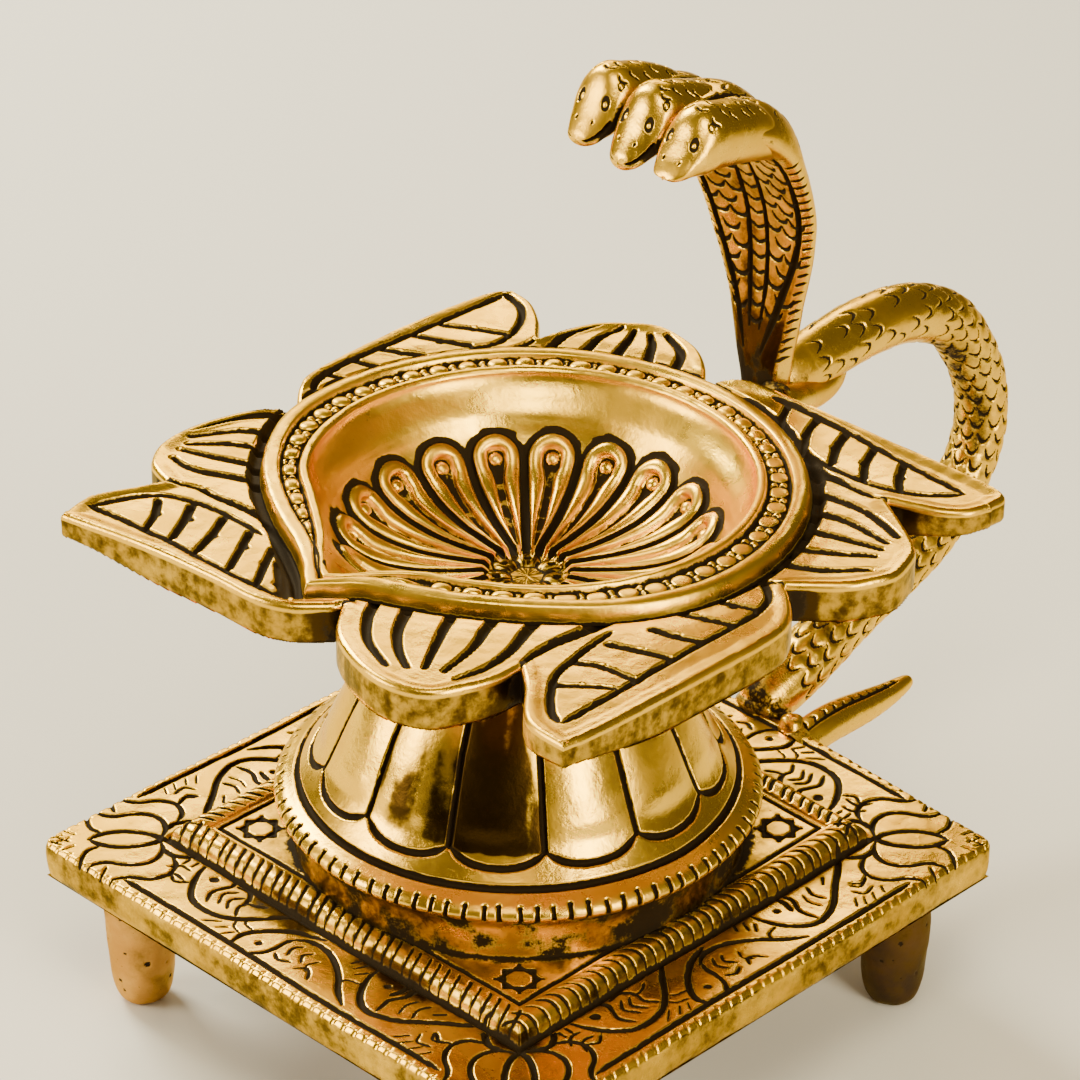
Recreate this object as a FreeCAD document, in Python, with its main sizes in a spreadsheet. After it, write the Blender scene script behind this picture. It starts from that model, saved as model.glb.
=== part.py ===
import FreeCAD, Part
import math
import os
import Sketcher

# Diya oil lamp in cast brass: a square footed base, a bell pedestal, a plate of lotus leaves, an oil cup
# with a pointed spout, and a three-headed cobra whose body loops down to the base as the handle.
# Millimetres. Origin on the ground under the middle of the base, +Z up, spout towards -Y, handle at +Y.

V = FreeCAD.Vector
OUT = "parts"
os.makedirs(OUT, exist_ok=True)
doc = FreeCAD.newDocument("DiyaLamp")

# ---------------------------------------------------------------- driving dimensions
SIZES = {
    "base_side": 110.0,
    "base_thickness": 7.0,
    "base_corner": 2.0,
    "raised_side": 79.3,
    "raised_height": 2.3,
    "foot_height": 24.0,
    "foot_radius": 5.9,
    "foot_tip_radius": 4.6,
    "foot_inset": 44.0,
    "spigot_radius": 3.0,
    "spigot_height": 3.0,
    "recess_radius": 14.0,
    "recess_depth": 3.5,
    "stud_radius": 2.5,
    "stud_hole": 2.7,
    "washer_radius": 7.0,
    "washer_thickness": 1.0,
    "nut_across": 8.0,
    "nut_height": 2.2,
    "ring_radius": 39.6,
    "groove_radius": 35.8,
    "cone_radius": 32.2,
    "waist_radius": 24.0,
    "neck_radius": 15.5,
    "bell_wall": 3.0,
    "pedestal_height": 42.5,
    "petal_thickness": 6.6,
    "petal_top": 97.0,
    "well_radius": 36.4,
    "bowl_radius": 33.0,
    "seat_depth": 1.6,
    "rim_top": 98.3,
    "rim_shift": 1.7,
    "bowl_wall": 2.2,
    "bowl_floor": 80.2,
    "boss_radius": 8.0,
    "boss_bite": 3.2,
    "body_radius": 5.0,
    "strut_radius": 2.6,
    "hood_half_width": 13.0,
    "head_spacing": 9.6,
    "pin_radius": 1.5,
    "tail_root": 3.2,
}
sheet = doc.addObject("Spreadsheet::Sheet", "Sizes")
for row, (alias, number) in enumerate(SIZES.items(), start=1):
    sheet.set(f"A{row}", alias)
    sheet.set(f"B{row}", str(number))
    sheet.setAlias(f"B{row}", alias)
doc.recompute()


def size(expression):
    """Value of a number, or of a formula in aliases, which the sheet works out in a spare cell."""
    if not isinstance(expression, str):
        return float(expression)
    sheet.set("D1", "=" + expression)
    sheet.recompute()
    value = sheet.get("D1")
    return float(getattr(value, "Value", value))


def bound(expression):
    """The same formula as another object refers to it."""
    words = []
    token = ""
    for letter in expression + " ":
        if letter.isalnum() or letter == "_":
            token += letter
            continue
        words.append("Sizes." + token if token in SIZES else token)
        words.append(letter)
        token = ""
    return "".join(words).strip()


def drive(obj, prop, expression):
    """Bind one property of an object to the sheet."""
    obj.setExpression(prop, bound(expression))
    doc.recompute()


def new_body(name):
    body = doc.addObject("PartDesign::Body", name)
    body.Label = name
    return body


def new_sketch(body, role, offset=0.0, name="Sketch"):
    """Sketch on one of the body's own origin planes, moved along the plane's normal."""
    plane = [f for f in body.Origin.OriginFeatures if f.Role == role][0]
    sketch = body.newObject("Sketcher::SketchObject", body.Name + name)
    sketch.AttachmentSupport = [(plane, "")]
    sketch.MapMode = "FlatFace"
    sketch.AttachmentOffset = FreeCAD.Placement(V(0, 0, offset), FreeCAD.Rotation())
    doc.recompute()
    return sketch


def pin_point(sketch, edge, end, point):
    """Fix one end of an edge at two driven distances from the sketch origin."""
    for axis, expression in zip("XY", point):
        value = size(expression)
        if abs(value) < 1e-9:
            sketch.addConstraint(Sketcher.Constraint("PointOnObject", edge, end, -2 if axis == "X" else -1))
            continue
        index = sketch.addConstraint(Sketcher.Constraint("Distance" + axis, -1, 1, edge, end, value))
        if isinstance(expression, str):
            sketch.setExpression(f"Constraints[{index}]", bound(expression))


def add_polygon(sketch, corners):
    """Closed polygon whose corners are numbers or formulas."""
    points = [V(size(x), size(y), 0) for x, y in corners]
    edges = [sketch.addGeometry(Part.LineSegment(a, b)) for a, b in zip(points, points[1:] + points[:1])]
    for i, edge in enumerate(edges):
        sketch.addConstraint(Sketcher.Constraint("Coincident", edge, 2, edges[(i + 1) % len(edges)], 1))
    for edge, corner in zip(edges, corners):
        pin_point(sketch, edge, 1, corner)
    doc.recompute()


def add_circle(sketch, x, y, radius):
    edge = sketch.addGeometry(Part.Circle(V(size(x), size(y), 0), V(0, 0, 1), size(radius)))
    index = sketch.addConstraint(Sketcher.Constraint("Radius", edge, size(radius)))
    if isinstance(radius, str):
        sketch.setExpression(f"Constraints[{index}]", bound(radius))
    pin_point(sketch, edge, 3, (x, y))
    doc.recompute()


def feature(body, kind, sketch, name, **formulas):
    """Pad, pocket, revolution or groove of one sketch."""
    made = body.newObject("PartDesign::" + kind, body.Name + name)
    made.Profile = sketch
    if kind in ("Revolution", "Groove"):
        made.ReferenceAxis = (sketch, ["V_Axis"])
        made.Angle = 360.0
    for prop, expression in formulas.items():
        setattr(made, prop, size(expression))
        if isinstance(expression, str):
            drive(made, prop, expression)
    body.Tip = made
    doc.recompute()
    sketch.Visibility = False
    return made


def pocket_up(body, sketch, name, depth):
    """Pocket that cuts towards +Z from a sketch on an XY plane."""
    before = body.Shape.Volume
    cut = feature(body, "Pocket", sketch, name, Length=depth)
    cut.Reversed = True
    doc.recompute()
    assert body.Shape.Volume < before, name
    return cut


# ---------------------------------------------------------------- base plate
def square(side):
    half = f"{side} / 2"
    return [(f"-{half}", f"-{half}"), (half, f"-{half}"), (half, half), (f"-{half}", half)]


BASE_TOP = "foot_height + base_thickness"
SEAT_TOP = "foot_height + base_thickness + raised_height"
STEM_TOP = "foot_height + base_thickness + raised_height + pedestal_height"

base = new_body("base_plate")
outline = new_sketch(base, "XY_Plane", name="Outline")
drive(outline, ".AttachmentOffset.Base.z", "foot_height")
add_polygon(outline, square("base_side"))
feature(base, "Pad", outline, "Slab", Length="base_thickness")
raised = new_sketch(base, "XY_Plane", name="Raised")
drive(raised, ".AttachmentOffset.Base.z", BASE_TOP)
add_polygon(raised, square("raised_side"))
feature(base, "Pad", raised, "Step", Length="raised_height")
recess = new_sketch(base, "XY_Plane", name="Recess")
drive(recess, ".AttachmentOffset.Base.z", "foot_height")
add_circle(recess, 0, 0, "recess_radius")
pocket_up(base, recess, "NutRecess", "recess_depth")
bore = new_sketch(base, "XY_Plane", name="Bore")
drive(bore, ".AttachmentOffset.Base.z", "foot_height")
add_circle(bore, 0, 0, "stud_hole")
pocket_up(base, bore, "StudHole", "base_thickness + raised_height")
sockets = new_sketch(base, "XY_Plane", name="Sockets")
drive(sockets, ".AttachmentOffset.Base.z", "foot_height")
FEET = {
    "foot_front_left": (-1, -1),
    "foot_front_right": (1, -1),
    "foot_back_left": (-1, 1),
    "foot_back_right": (1, 1),
}
for sign_x, sign_y in FEET.values():
    add_circle(sockets, f"{sign_x} * foot_inset", f"{sign_y} * foot_inset", "spigot_radius")
pocket_up(base, sockets, "FootSockets", "spigot_height")
pin_hole = new_sketch(base, "XZ_Plane", offset=-SIZES["base_side"] / 2, name="PinHole")
add_circle(pin_hole, 0, "foot_height + base_thickness / 2", "pin_radius")
PIN_DEPTH = 6.0
hole = base.newObject("PartDesign::Pocket", "base_plateLowerPinHole")
hole.Profile = pin_hole
hole.Length = PIN_DEPTH
volume = base.Shape.Volume
base.Tip = hole
doc.recompute()
if base.Shape.Volume > volume - 1.0:
    hole.Reversed = True
    doc.recompute()
assert base.Shape.Volume < volume - 1.0
corners = base.newObject("PartDesign::Fillet", "base_plateCorners")
upright = []
for number, edge in enumerate(hole.Shape.Edges, start=1):
    ends = [vertex.Point for vertex in edge.Vertexes]
    if len(ends) == 2 and abs(abs(ends[0].x) - 55) + abs(abs(ends[0].y) - 55) < 0.1:
        if (ends[0] - ends[1]).cross(V(0, 0, 1)).Length < 1e-6:
            upright.append(f"Edge{number}")
assert len(upright) == 4
corners.Base = (hole, upright)
base.Tip = corners
drive(corners, "Radius", "base_corner")


# ---------------------------------------------------------------- feet
for label, (sign_x, sign_y) in FEET.items():
    foot = new_body(label)
    profile = new_sketch(foot, "XZ_Plane", name="Profile")
    add_polygon(profile, [
        (0, 0),
        ("foot_tip_radius * 0.55", 0),
        ("foot_tip_radius * 0.92", 1.6),
        ("foot_tip_radius * 1.08", 4.5),
        ("foot_radius", "foot_height * 0.5"),
        ("foot_radius", "foot_height"),
        ("spigot_radius", "foot_height"),
        ("spigot_radius", "foot_height + spigot_height"),
        (0, "foot_height + spigot_height"),
    ])
    feature(foot, "Revolution", profile, "Peg")
    drive(foot, ".Placement.Base.x", f"{sign_x} * foot_inset")
    drive(foot, ".Placement.Base.y", f"{sign_y} * foot_inset")

# ---------------------------------------------------------------- pedestal: a hollow turned bell
pedestal = new_body("pedestal")
bell = new_sketch(pedestal, "XZ_Plane", name="Profile")
add_polygon(bell, [
    ("ring_radius - 3.1 - bell_wall", 0),
    ("ring_radius - 3.1", 0),
    ("ring_radius - 2.9", 5.2),
    ("ring_radius", 8.5),
    ("ring_radius", 9.6),
    ("ring_radius - 1.4", 10.9),
    ("groove_radius", 11.8),
    ("cone_radius", 16.6),
    ("waist_radius + 3.6", 24.5),
    ("waist_radius", 31.5),
    ("neck_radius + 2.0", 38.5),
    ("neck_radius", "pedestal_height"),
    ("stud_hole", "pedestal_height"),
    ("stud_hole", "pedestal_height - 5"),
    ("neck_radius - 3", 36.5),
    ("waist_radius - bell_wall", 29.5),
    ("waist_radius + 3.6 - bell_wall", 23.0),
    ("cone_radius - bell_wall", 15.5),
    ("ring_radius - 3.1 - bell_wall", 8.0),
])
feature(pedestal, "Revolution", bell, "Bell")
drive(pedestal, ".Placement.Base.z", SEAT_TOP)

# ---------------------------------------------------------------- petal plate
# Plan of the leaves, counter-clockwise from the front left. On each side a pointed leaf has its tip at
# the corner and a straight outer edge, and a scalloped fan fills the rest of the side.
PETALS = [
    {
        "leaf_inner": [(-40.3, -38.1), (-42.1, -42.8), (-44.8, -49.6), (-43.3, -56.7)],
        "leaf_outer": [(-27.1, -53.8), (-14.2, -52.6), (-3.9, -52.3), (1.7, -50.3), (5.9, -46.2)],
        "fan": [(6.8, -44.3), (11.2, -49.7), (16.0, -52.7), (22.8, -54.9), (28.6, -55.0), (34.0, -52.6),
                (36.7, -47.5), (38.1, -42.6)],
    },
    {
        "leaf_inner": [(38.1, -38.0), (42.2, -41.4), (47.2, -46.6), (51.0, -48.6), (57.6, -49.2)],
        "leaf_outer": [(58.3, -41.8), (58.5, -22.0), (58.3, -5.5), (56.3, 0.4), (52.5, 4.4)],
        "fan": [(49.5, 6.6), (55.4, 12.3), (57.6, 15.6), (59.3, 20.5), (58.5, 24.6), (56.8, 28.3),
                (53.8, 30.8), (50.4, 33.0)],
    },
    {
        "leaf_inner": [(43.3, 37.2), (47.9, 38.9), (51.7, 40.5), (54.6, 43.1), (56.1, 47.1)],
        "leaf_outer": [(53.5, 52.2), (33.0, 52.5), (14.4, 52.3), (3.0, 51.9), (-2.0, 49.6)],
        "fan": [(-4.0, 46.6), (-7.3, 50.4), (-12.4, 53.8), (-18.5, 55.4), (-22.8, 55.2), (-27.0, 52.4),
                (-30.6, 48.4), (-32.4, 43.6)],
    },
    {
        "leaf_inner": [(-33.4, 38.0), (-35.2, 39.8), (-38.2, 42.8), (-43.4, 46.2), (-48.6, 47.2)],
        "leaf_outer": [(-51.0, 43.6), (-52.0, 34.0), (-52.2, 21.0), (-51.2, 4.0), (-49.3, -1.2), (-46.4, -4.6)],
        "fan": [(-45.3, -6.0), (-46.6, -8.9), (-48.7, -14.4), (-50.7, -23.0), (-49.9, -30.4),
                (-46.8, -35.2), (-43.9, -37.0)],
    },
]


def add_curve(sketch, points):
    """Smooth curve through given points of the plan."""
    curve = Part.BSplineCurve()
    curve.interpolate([V(x, y, 0) for x, y in points])
    return sketch.addGeometry(curve)


petals = new_body("petal_plate")
plan = new_sketch(petals, "XY_Plane", name="Plan")
drive(plan, ".AttachmentOffset.Base.z", "petal_top - petal_thickness")
edges = []
for side, petal in enumerate(PETALS):
    following = PETALS[(side + 1) % len(PETALS)]
    tip = petal["leaf_inner"][-1]
    notch = petal["fan"][0]
    edges.append(add_curve(plan, petal["leaf_inner"]))
    edges.append(add_curve(plan, [tip] + petal["leaf_outer"] + [notch]))
    edges.append(add_curve(plan, petal["fan"] + [following["leaf_inner"][0]]))
for i, edge in enumerate(edges):
    plan.addConstraint(Sketcher.Constraint("Coincident", edge, 2, edges[(i + 1) % len(edges)], 1))
    plan.addConstraint(Sketcher.Constraint("Block", edge))
doc.recompute()
feature(petals, "Pad", plan, "Leaves", Length="petal_thickness")
well = new_sketch(petals, "XY_Plane", name="Well")
drive(well, ".AttachmentOffset.Base.z", "petal_top - petal_thickness")
add_circle(well, 0, "rim_shift", "well_radius")
pocket_up(petals, well, "CupWell", "petal_thickness")

# Plan of the cup's rim about the bowl's axis: angle from the spout (left side negative), outer radius,
# inner radius. The sides draw in and then run out to a pointed spout.
RIM = [
    (0, 47.4, 42.0), (3, 44.6, 39.8), (8, 41.6, 36.2), (16, 40.2, 33.0), (26, 39.7, 32.2), (38, 39.5, 32.4),
    (50, 40.2, 33.2), (62, 41.8, 34.2), (75, 43.4, 35.2), (90, 44.2, 36.0), (120, 44.3, 36.4),
    (150, 44.2, 36.4), (180, 44.1, 36.4), (-150, 44.2, 36.2), (-120, 44.4, 36.0), (-90, 44.6, 35.6),
    (-75, 44.4, 35.3), (-62, 43.1, 35.0), (-50, 41.9, 34.3), (-38, 40.8, 33.2), (-26, 40.4, 33.6),
    (-16, 41.0, 35.4), (-8, 43.0, 38.5), (-3, 45.6, 40.9), (0, 47.4, 42.0),
]


def add_rim_outline(sketch, column, grow=0.0, shift=0.0):
    """Closed outline of the rim with its corner at the tip of the spout."""
    points = []
    for station in RIM:
        turn = math.radians(station[0])
        radius = station[column] + grow
        points.append((radius * math.sin(turn), shift - radius * math.cos(turn)))
    return add_curve(sketch, points)


seat = new_sketch(petals, "XY_Plane", name="Seat")
drive(seat, ".AttachmentOffset.Base.z", "petal_top - seat_depth")
add_rim_outline(seat, 1, grow=0.4, shift=SIZES["rim_shift"])
doc.recompute()
pocket_up(petals, seat, "CupSeat", "seat_depth")

# ---------------------------------------------------------------- oil cup: bowl, flat rim and pointed spout
cup = new_body("oil_cup")
bowl = new_sketch(cup, "XZ_Plane", name="Profile")
add_polygon(bowl, [
    (0, f"{STEM_TOP} + boss_bite"),
    ("stud_radius", f"{STEM_TOP} + boss_bite"),
    ("stud_radius", STEM_TOP),
    ("boss_radius", STEM_TOP),
    ("boss_radius", "bowl_floor - bowl_wall"),
    (19.0, "bowl_floor - bowl_wall + 0.8"),
    (27.5, "bowl_floor + 2.4"),
    (33.5, "bowl_floor + 8.0"),
    ("well_radius - 0.05", "petal_top - petal_thickness + 0.6"),
    ("well_radius - 0.05", "petal_top - seat_depth + 1"),
    ("bowl_radius", "petal_top - seat_depth + 1"),
    (31.4, "bowl_floor + 9.5"),
    (25.8, "bowl_floor + 3.4"),
    (17.0, "bowl_floor + 0.7"),
    (0, "bowl_floor"),
])
feature(cup, "Revolution", bowl, "Bowl")
floor = new_sketch(cup, "XY_Plane", name="SpoutFloor")
drive(floor, ".AttachmentOffset.Base.z", "petal_top - seat_depth")
add_rim_outline(floor, 1)
add_circle(floor, 0, 0, "bowl_radius")
feature(cup, "Pad", floor, "SpoutFloorPad", Length=1.0)
lip = new_sketch(cup, "XY_Plane", name="Lip")
drive(lip, ".AttachmentOffset.Base.z", "petal_top - seat_depth + 1")
add_rim_outline(lip, 1)
add_rim_outline(lip, 2)
feature(cup, "Pad", lip, "LipPad", Length="rim_top - petal_top + seat_depth - 1")
drive(cup, ".Placement.Base.y", "rim_shift")

# ---------------------------------------------------------------- tie stud, washer and nut
STUD_FOOT = "foot_height + recess_depth - washer_thickness - nut_height"
stud_rod = doc.addObject("Part::Cylinder", "tie_stud")
stud_rod.Label = "tie_stud"
drive(stud_rod, "Radius", "stud_radius")
drive(stud_rod, "Height", f"{STEM_TOP} + boss_bite - ({STUD_FOOT})")
drive(stud_rod, ".Placement.Base.z", STUD_FOOT)


def ring_between(label, outer, height_formula, base_formula, sides=None):
    """Round or six-sided ring that fits the tie stud."""
    if sides:
        blank = doc.addObject("Part::Prism", label + "Blank")
        blank.Polygon = sides
        drive(blank, "Circumradius", outer)
    else:
        blank = doc.addObject("Part::Cylinder", label + "Blank")
        drive(blank, "Radius", outer)
    hole_tool = doc.addObject("Part::Cylinder", label + "Hole")
    drive(hole_tool, "Radius", "stud_radius")
    for item in (blank, hole_tool):
        drive(item, "Height", height_formula)
        drive(item, ".Placement.Base.z", base_formula)
    ring = doc.addObject("Part::Cut", label)
    ring.Label = label
    ring.Base = blank
    ring.Tool = hole_tool
    doc.recompute()
    return ring


washer = ring_between("tie_washer", "washer_radius", "washer_thickness",
                      "foot_height + recess_depth - washer_thickness")
nut = ring_between("tie_nut", "nut_across / 1.732", "nut_height", STUD_FOOT, sides=6)

# ---------------------------------------------------------------- cobra: hood, three heads, looped body, tail
# Hood stations from the foot upwards and forwards: y, z, lean of the section, half width, half depth.
HOOD = [
    (55.4, 91.5, 0.0, 0.32, 3.6),
    (56.4, 99.0, 0.0, 0.36, 3.8),
    (57.0, 108.0, 0.0, 0.55, 3.2),
    (57.0, 118.0, 2.0, 0.76, 2.8),
    (56.0, 127.5, 10.0, 0.92, 2.7),
    (52.6, 136.5, 30.0, 1.00, 2.8),
    (46.6, 144.8, 55.0, 1.04, 3.3),
    (38.6, 149.4, 72.0, 1.08, 4.3),
    (31.8, 150.8, 84.0, 1.08, 4.8),
]
sections = []
for number, (y, z, lean, width, depth) in enumerate(HOOD):
    oval = doc.addObject("Part::Ellipse", f"HoodSection{number}")
    drive(oval, "MajorRadius", f"hood_half_width * {width}")
    oval.MinorRadius = depth
    oval.Placement = FreeCAD.Placement(V(0, y, z), FreeCAD.Rotation(V(1, 0, 0), lean))
    sections.append(oval)
doc.recompute()
shell = doc.addObject("Part::Loft", "HoodLoft")
shell.Sections = sections
shell.Solid = True
doc.recompute()
cobra = shell
for number, side in enumerate((-1, 0, 1)):
    head = doc.addObject("Part::Ellipsoid", f"Head{number}")
    head.Radius1 = 5.6
    head.Radius2 = 4.8
    head.Radius3 = 9.0
    head.Placement = FreeCAD.Placement(V(0, 30.0 - 0.3 * side, 150.8), FreeCAD.Rotation(V(1, 0, 0), 12))
    drive(head, ".Placement.Base.x", f"{side} * head_spacing")
    joined = doc.addObject("Part::Fuse", f"CobraWithHead{number}")
    joined.Base = cobra
    joined.Tool = head
    cobra = joined
    doc.recompute()

PLATE_BACK = 52.6


def box_tool(name, corner, lengths):
    tool = doc.addObject("Part::Box", name)
    tool.Length, tool.Width, tool.Height = lengths
    tool.Placement.Base = V(*corner)
    return tool


def cut(label, whole, tools):
    """Whole shape less one or more tools."""
    made = whole
    for number, tool in enumerate(tools):
        step = doc.addObject("Part::Cut", label if number == len(tools) - 1 else f"{label}Step{number}")
        step.Base = made
        step.Tool = tool
        made = step
    made.Label = label
    doc.recompute()
    return made


# The hood's foot hooks over the back edge of the petal plate: a flat seat on top and a face behind.
hook = box_tool("HookSeat", (-20, PLATE_BACK - 20, 80), (40, 20, 1))
drive(hook, "Height", "petal_top - 80")

# Centre line of the looped body in the middle plane, from behind the hood down to the base: y, z.
LOOP = [
    (60.6, 92.6), (70.0, 94.3), (80.5, 95.5), (92.0, 94.2), (102.0, 89.9), (109.0, 82.4), (113.4, 73.6),
    (114.2, 65.0), (110.4, 56.4), (102.6, 48.0), (91.0, 43.6), (80.2, 39.9), (70.0, 35.0), (60.0, 30.6),
    (53.0, 28.4),
]
path = doc.addObject("Sketcher::SketchObject", "LoopPath")
path.Placement = FreeCAD.Placement(V(0, 0, 0), FreeCAD.Rotation(V(1, 1, 1), 120))
add_curve(path, LOOP)
rim = doc.addObject("Sketcher::SketchObject", "LoopSection")
along = V(0, LOOP[1][0] - LOOP[0][0], LOOP[1][1] - LOOP[0][1])
rim.Placement = FreeCAD.Placement(V(0, *LOOP[0]), FreeCAD.Rotation(V(0, 0, 1), along))
add_circle(rim, 0, 0, "body_radius")
tube = doc.addObject("Part::Sweep", "LoopTube")
tube.Sections = [rim]
tube.Spine = (path, ["Edge1"])
tube.Solid = True
tube.Frenet = False
doc.recompute()
strut = doc.addObject("Part::Cylinder", "LoopStrut")
drive(strut, "Radius", "strut_radius")
strut.Height = 24.0
STRUT_ROOT = V(0.5, 74.0, 91.0)
STRUT_END = V(5.6, 51.0, 93.9)
strut.Placement = FreeCAD.Placement(STRUT_ROOT, FreeCAD.Rotation(V(0, 0, 1), STRUT_END - STRUT_ROOT))
doc.recompute()
snake = doc.addObject("Part::MultiFuse", "SnakeWhole")
snake.Shapes = [tube, strut]
doc.recompute()
plate_clear = box_tool("PlateClear", (-30, PLATE_BACK - 30, 80), (60, 30, 30))
base_clear = box_tool("BaseClear", (-30, 15, 10), (60, 40, 21))
drive(base_clear, "Height", f"{BASE_TOP} - 10")
over_clear = box_tool("OverClear", (-30, 15, 30.9), (60, 36, 20))
lower_pin_hole = doc.addObject("Part::Cylinder", "LowerPinTool")
upper_pin_hole = doc.addObject("Part::Cylinder", "UpperPinTool")
lower_pin = doc.addObject("Part::Cylinder", "lower_handle_pin")
upper_pin = doc.addObject("Part::Cylinder", "upper_handle_pin")
lower_pin.Label = "lower_handle_pin"
upper_pin.Label = "upper_handle_pin"
ALONG_Y = FreeCAD.Rotation(V(1, 0, 0), -90)
for item in (lower_pin_hole, lower_pin):
    drive(item, "Radius", "pin_radius")
    item.Height = PIN_DEPTH + 5.0
    item.Placement = FreeCAD.Placement(V(0, 55 - PIN_DEPTH, 27.5), ALONG_Y)
    drive(item, ".Placement.Base.z", "foot_height + base_thickness / 2")
for item in (upper_pin_hole, upper_pin):
    drive(item, "Radius", "pin_radius")
    item.Height = 9.0
    item.Placement = FreeCAD.Placement(V(0, 54.6, 93.4), ALONG_Y)
doc.recompute()

hood = cut("cobra_hood", cobra, [hook, upper_pin_hole])
hood_clear = doc.addObject("Part::Loft", "HoodClear")
hood_clear.Sections = sections[:4]
hood_clear.Solid = True
doc.recompute()
body = cut("snake_body", snake,
           [plate_clear, base_clear, over_clear, hood_clear, upper_pin_hole, lower_pin_hole])

# Tail: a short tapered horn from the back edge of the base: x, y, z, share of the root radius.
TAIL = [
    (10.4, 55.0, 28.2, 1.00),
    (10.2, 62.6, 29.2, 1.00),
    (10.2, 68.3, 29.0, 0.98),
    (10.2, 74.1, 28.4, 0.86),
    (10.2, 79.8, 28.2, 0.66),
    (10.2, 85.4, 28.6, 0.40),
]
rings = []
for number, (x, y, z, share) in enumerate(TAIL):
    ring = doc.addObject("Part::Circle", f"TailSection{number}")
    drive(ring, "Radius", f"tail_root * {share}")
    ring.Placement = FreeCAD.Placement(V(x, y, z), ALONG_Y)
    rings.append(ring)
doc.recompute()
horn = doc.addObject("Part::Loft", "TailLoft")
horn.Sections = rings
horn.Solid = True
doc.recompute()
tail = cut("snake_tail", horn, [lower_pin_hole])

# ---------------------------------------------------------------- check and write
NODES = ["base_plate", *FEET, "pedestal", "petal_plate", "oil_cup", "tie_stud", "tie_washer",
         "tie_nut", "cobra_hood", "upper_handle_pin", "snake_body", "lower_handle_pin", "snake_tail"]
doc.recompute()
for item in doc.Objects:
    assert "Invalid" not in item.State and "Error" not in item.State, (item.Label, item.State)
for node in NODES:
    item = doc.getObjectsByLabel(node)[0]
    assert not item.Shape.isNull() and item.Shape.isValid(), node
    assert len(item.Shape.Solids) == 1, (node, len(item.Shape.Solids))
    item.Shape.exportStep(f"{OUT}/{node}.step")
    box = item.Shape.BoundBox
    print(f"{node:20s} {item.Shape.Volume / 1000:8.2f} cm3  x {box.XMin:.1f}..{box.XMax:.1f}  "
          f"y {box.YMin:.1f}..{box.YMax:.1f}  z {box.ZMin:.1f}..{box.ZMax:.1f}")
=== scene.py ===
import math
import bpy
import numpy as np
from mathutils import Matrix, Vector


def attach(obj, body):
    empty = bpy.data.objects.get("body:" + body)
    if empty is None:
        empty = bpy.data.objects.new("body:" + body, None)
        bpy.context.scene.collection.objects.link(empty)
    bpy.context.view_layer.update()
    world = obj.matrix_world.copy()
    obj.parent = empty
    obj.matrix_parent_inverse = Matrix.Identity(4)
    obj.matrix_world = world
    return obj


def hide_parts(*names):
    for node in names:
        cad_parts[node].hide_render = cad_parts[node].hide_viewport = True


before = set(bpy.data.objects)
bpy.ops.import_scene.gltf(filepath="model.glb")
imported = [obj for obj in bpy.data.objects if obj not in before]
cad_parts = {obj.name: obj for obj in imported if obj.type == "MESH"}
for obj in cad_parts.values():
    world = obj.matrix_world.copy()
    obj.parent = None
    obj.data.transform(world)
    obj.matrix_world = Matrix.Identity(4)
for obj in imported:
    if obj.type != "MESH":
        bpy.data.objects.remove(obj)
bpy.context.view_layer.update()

MM = 0.001
RNG = np.random.default_rng(744)


# ---------------------------------------------------------------- curves and height maps
def smooth(points, step=0.45):
    """Catmull-Rom curve through points, resampled about every step."""
    p = np.asarray(points, float)
    if len(p) < 3:
        count = max(2, int(np.linalg.norm(p[-1] - p[0]) / step) + 1)
        return p[0] + (p[-1] - p[0]) * np.linspace(0, 1, count)[:, None]
    p = np.vstack([2 * p[0] - p[1], p, 2 * p[-1] - p[-2]])
    out = []
    for a, b, c, d in zip(p, p[1:], p[2:], p[3:]):
        count = max(2, int(np.linalg.norm(c - b) / step) + 1)
        t = np.linspace(0, 1, count, endpoint=False)[:, None]
        out.append(0.5 * (2 * b + (c - a) * t + (2 * a - 5 * b + 4 * c - d) * t ** 2
                          + (3 * b - a - 3 * c + d) * t ** 3))
    out.append(p[-2][None])
    return np.vstack(out)


def ramp(x, low, high):
    """0 below low, 1 above high, smooth between."""
    t = np.clip((x - low) / (high - low), 0, 1)
    return t * t * (3 - 2 * t)


def lattice(shape_u, shape_v, cells_u, cells_v, seed, wrap=False):
    """Smooth random field between -1 and 1 over a grid."""
    rng = np.random.default_rng(seed)
    knots = rng.uniform(-1, 1, (cells_u + 1, cells_v + 1))
    if wrap:
        knots[-1] = knots[0]
    x = np.linspace(0, cells_u, shape_u)
    y = np.linspace(0, cells_v, shape_v)
    i = np.minimum(x.astype(int), cells_u - 1)
    j = np.minimum(y.astype(int), cells_v - 1)
    a = ramp(x - i, 0, 1)[:, None]
    b = ramp(y - j, 0, 1)[None]
    low = knots[np.ix_(i, j)] * (1 - a) + knots[np.ix_(i + 1, j)] * a
    high = knots[np.ix_(i, j + 1)] * (1 - a) + knots[np.ix_(i + 1, j + 1)] * a
    return low * (1 - b) + high * b


def clouds(*field):
    """The same random field, between 0 and 1."""
    return 0.5 + 0.5 * lattice(*field)


def dome(q):
    """Height of a unit half sphere at distance q from its middle, 0 outside it."""
    return np.sqrt(np.clip(1 - q * q, 0, 1))


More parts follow.
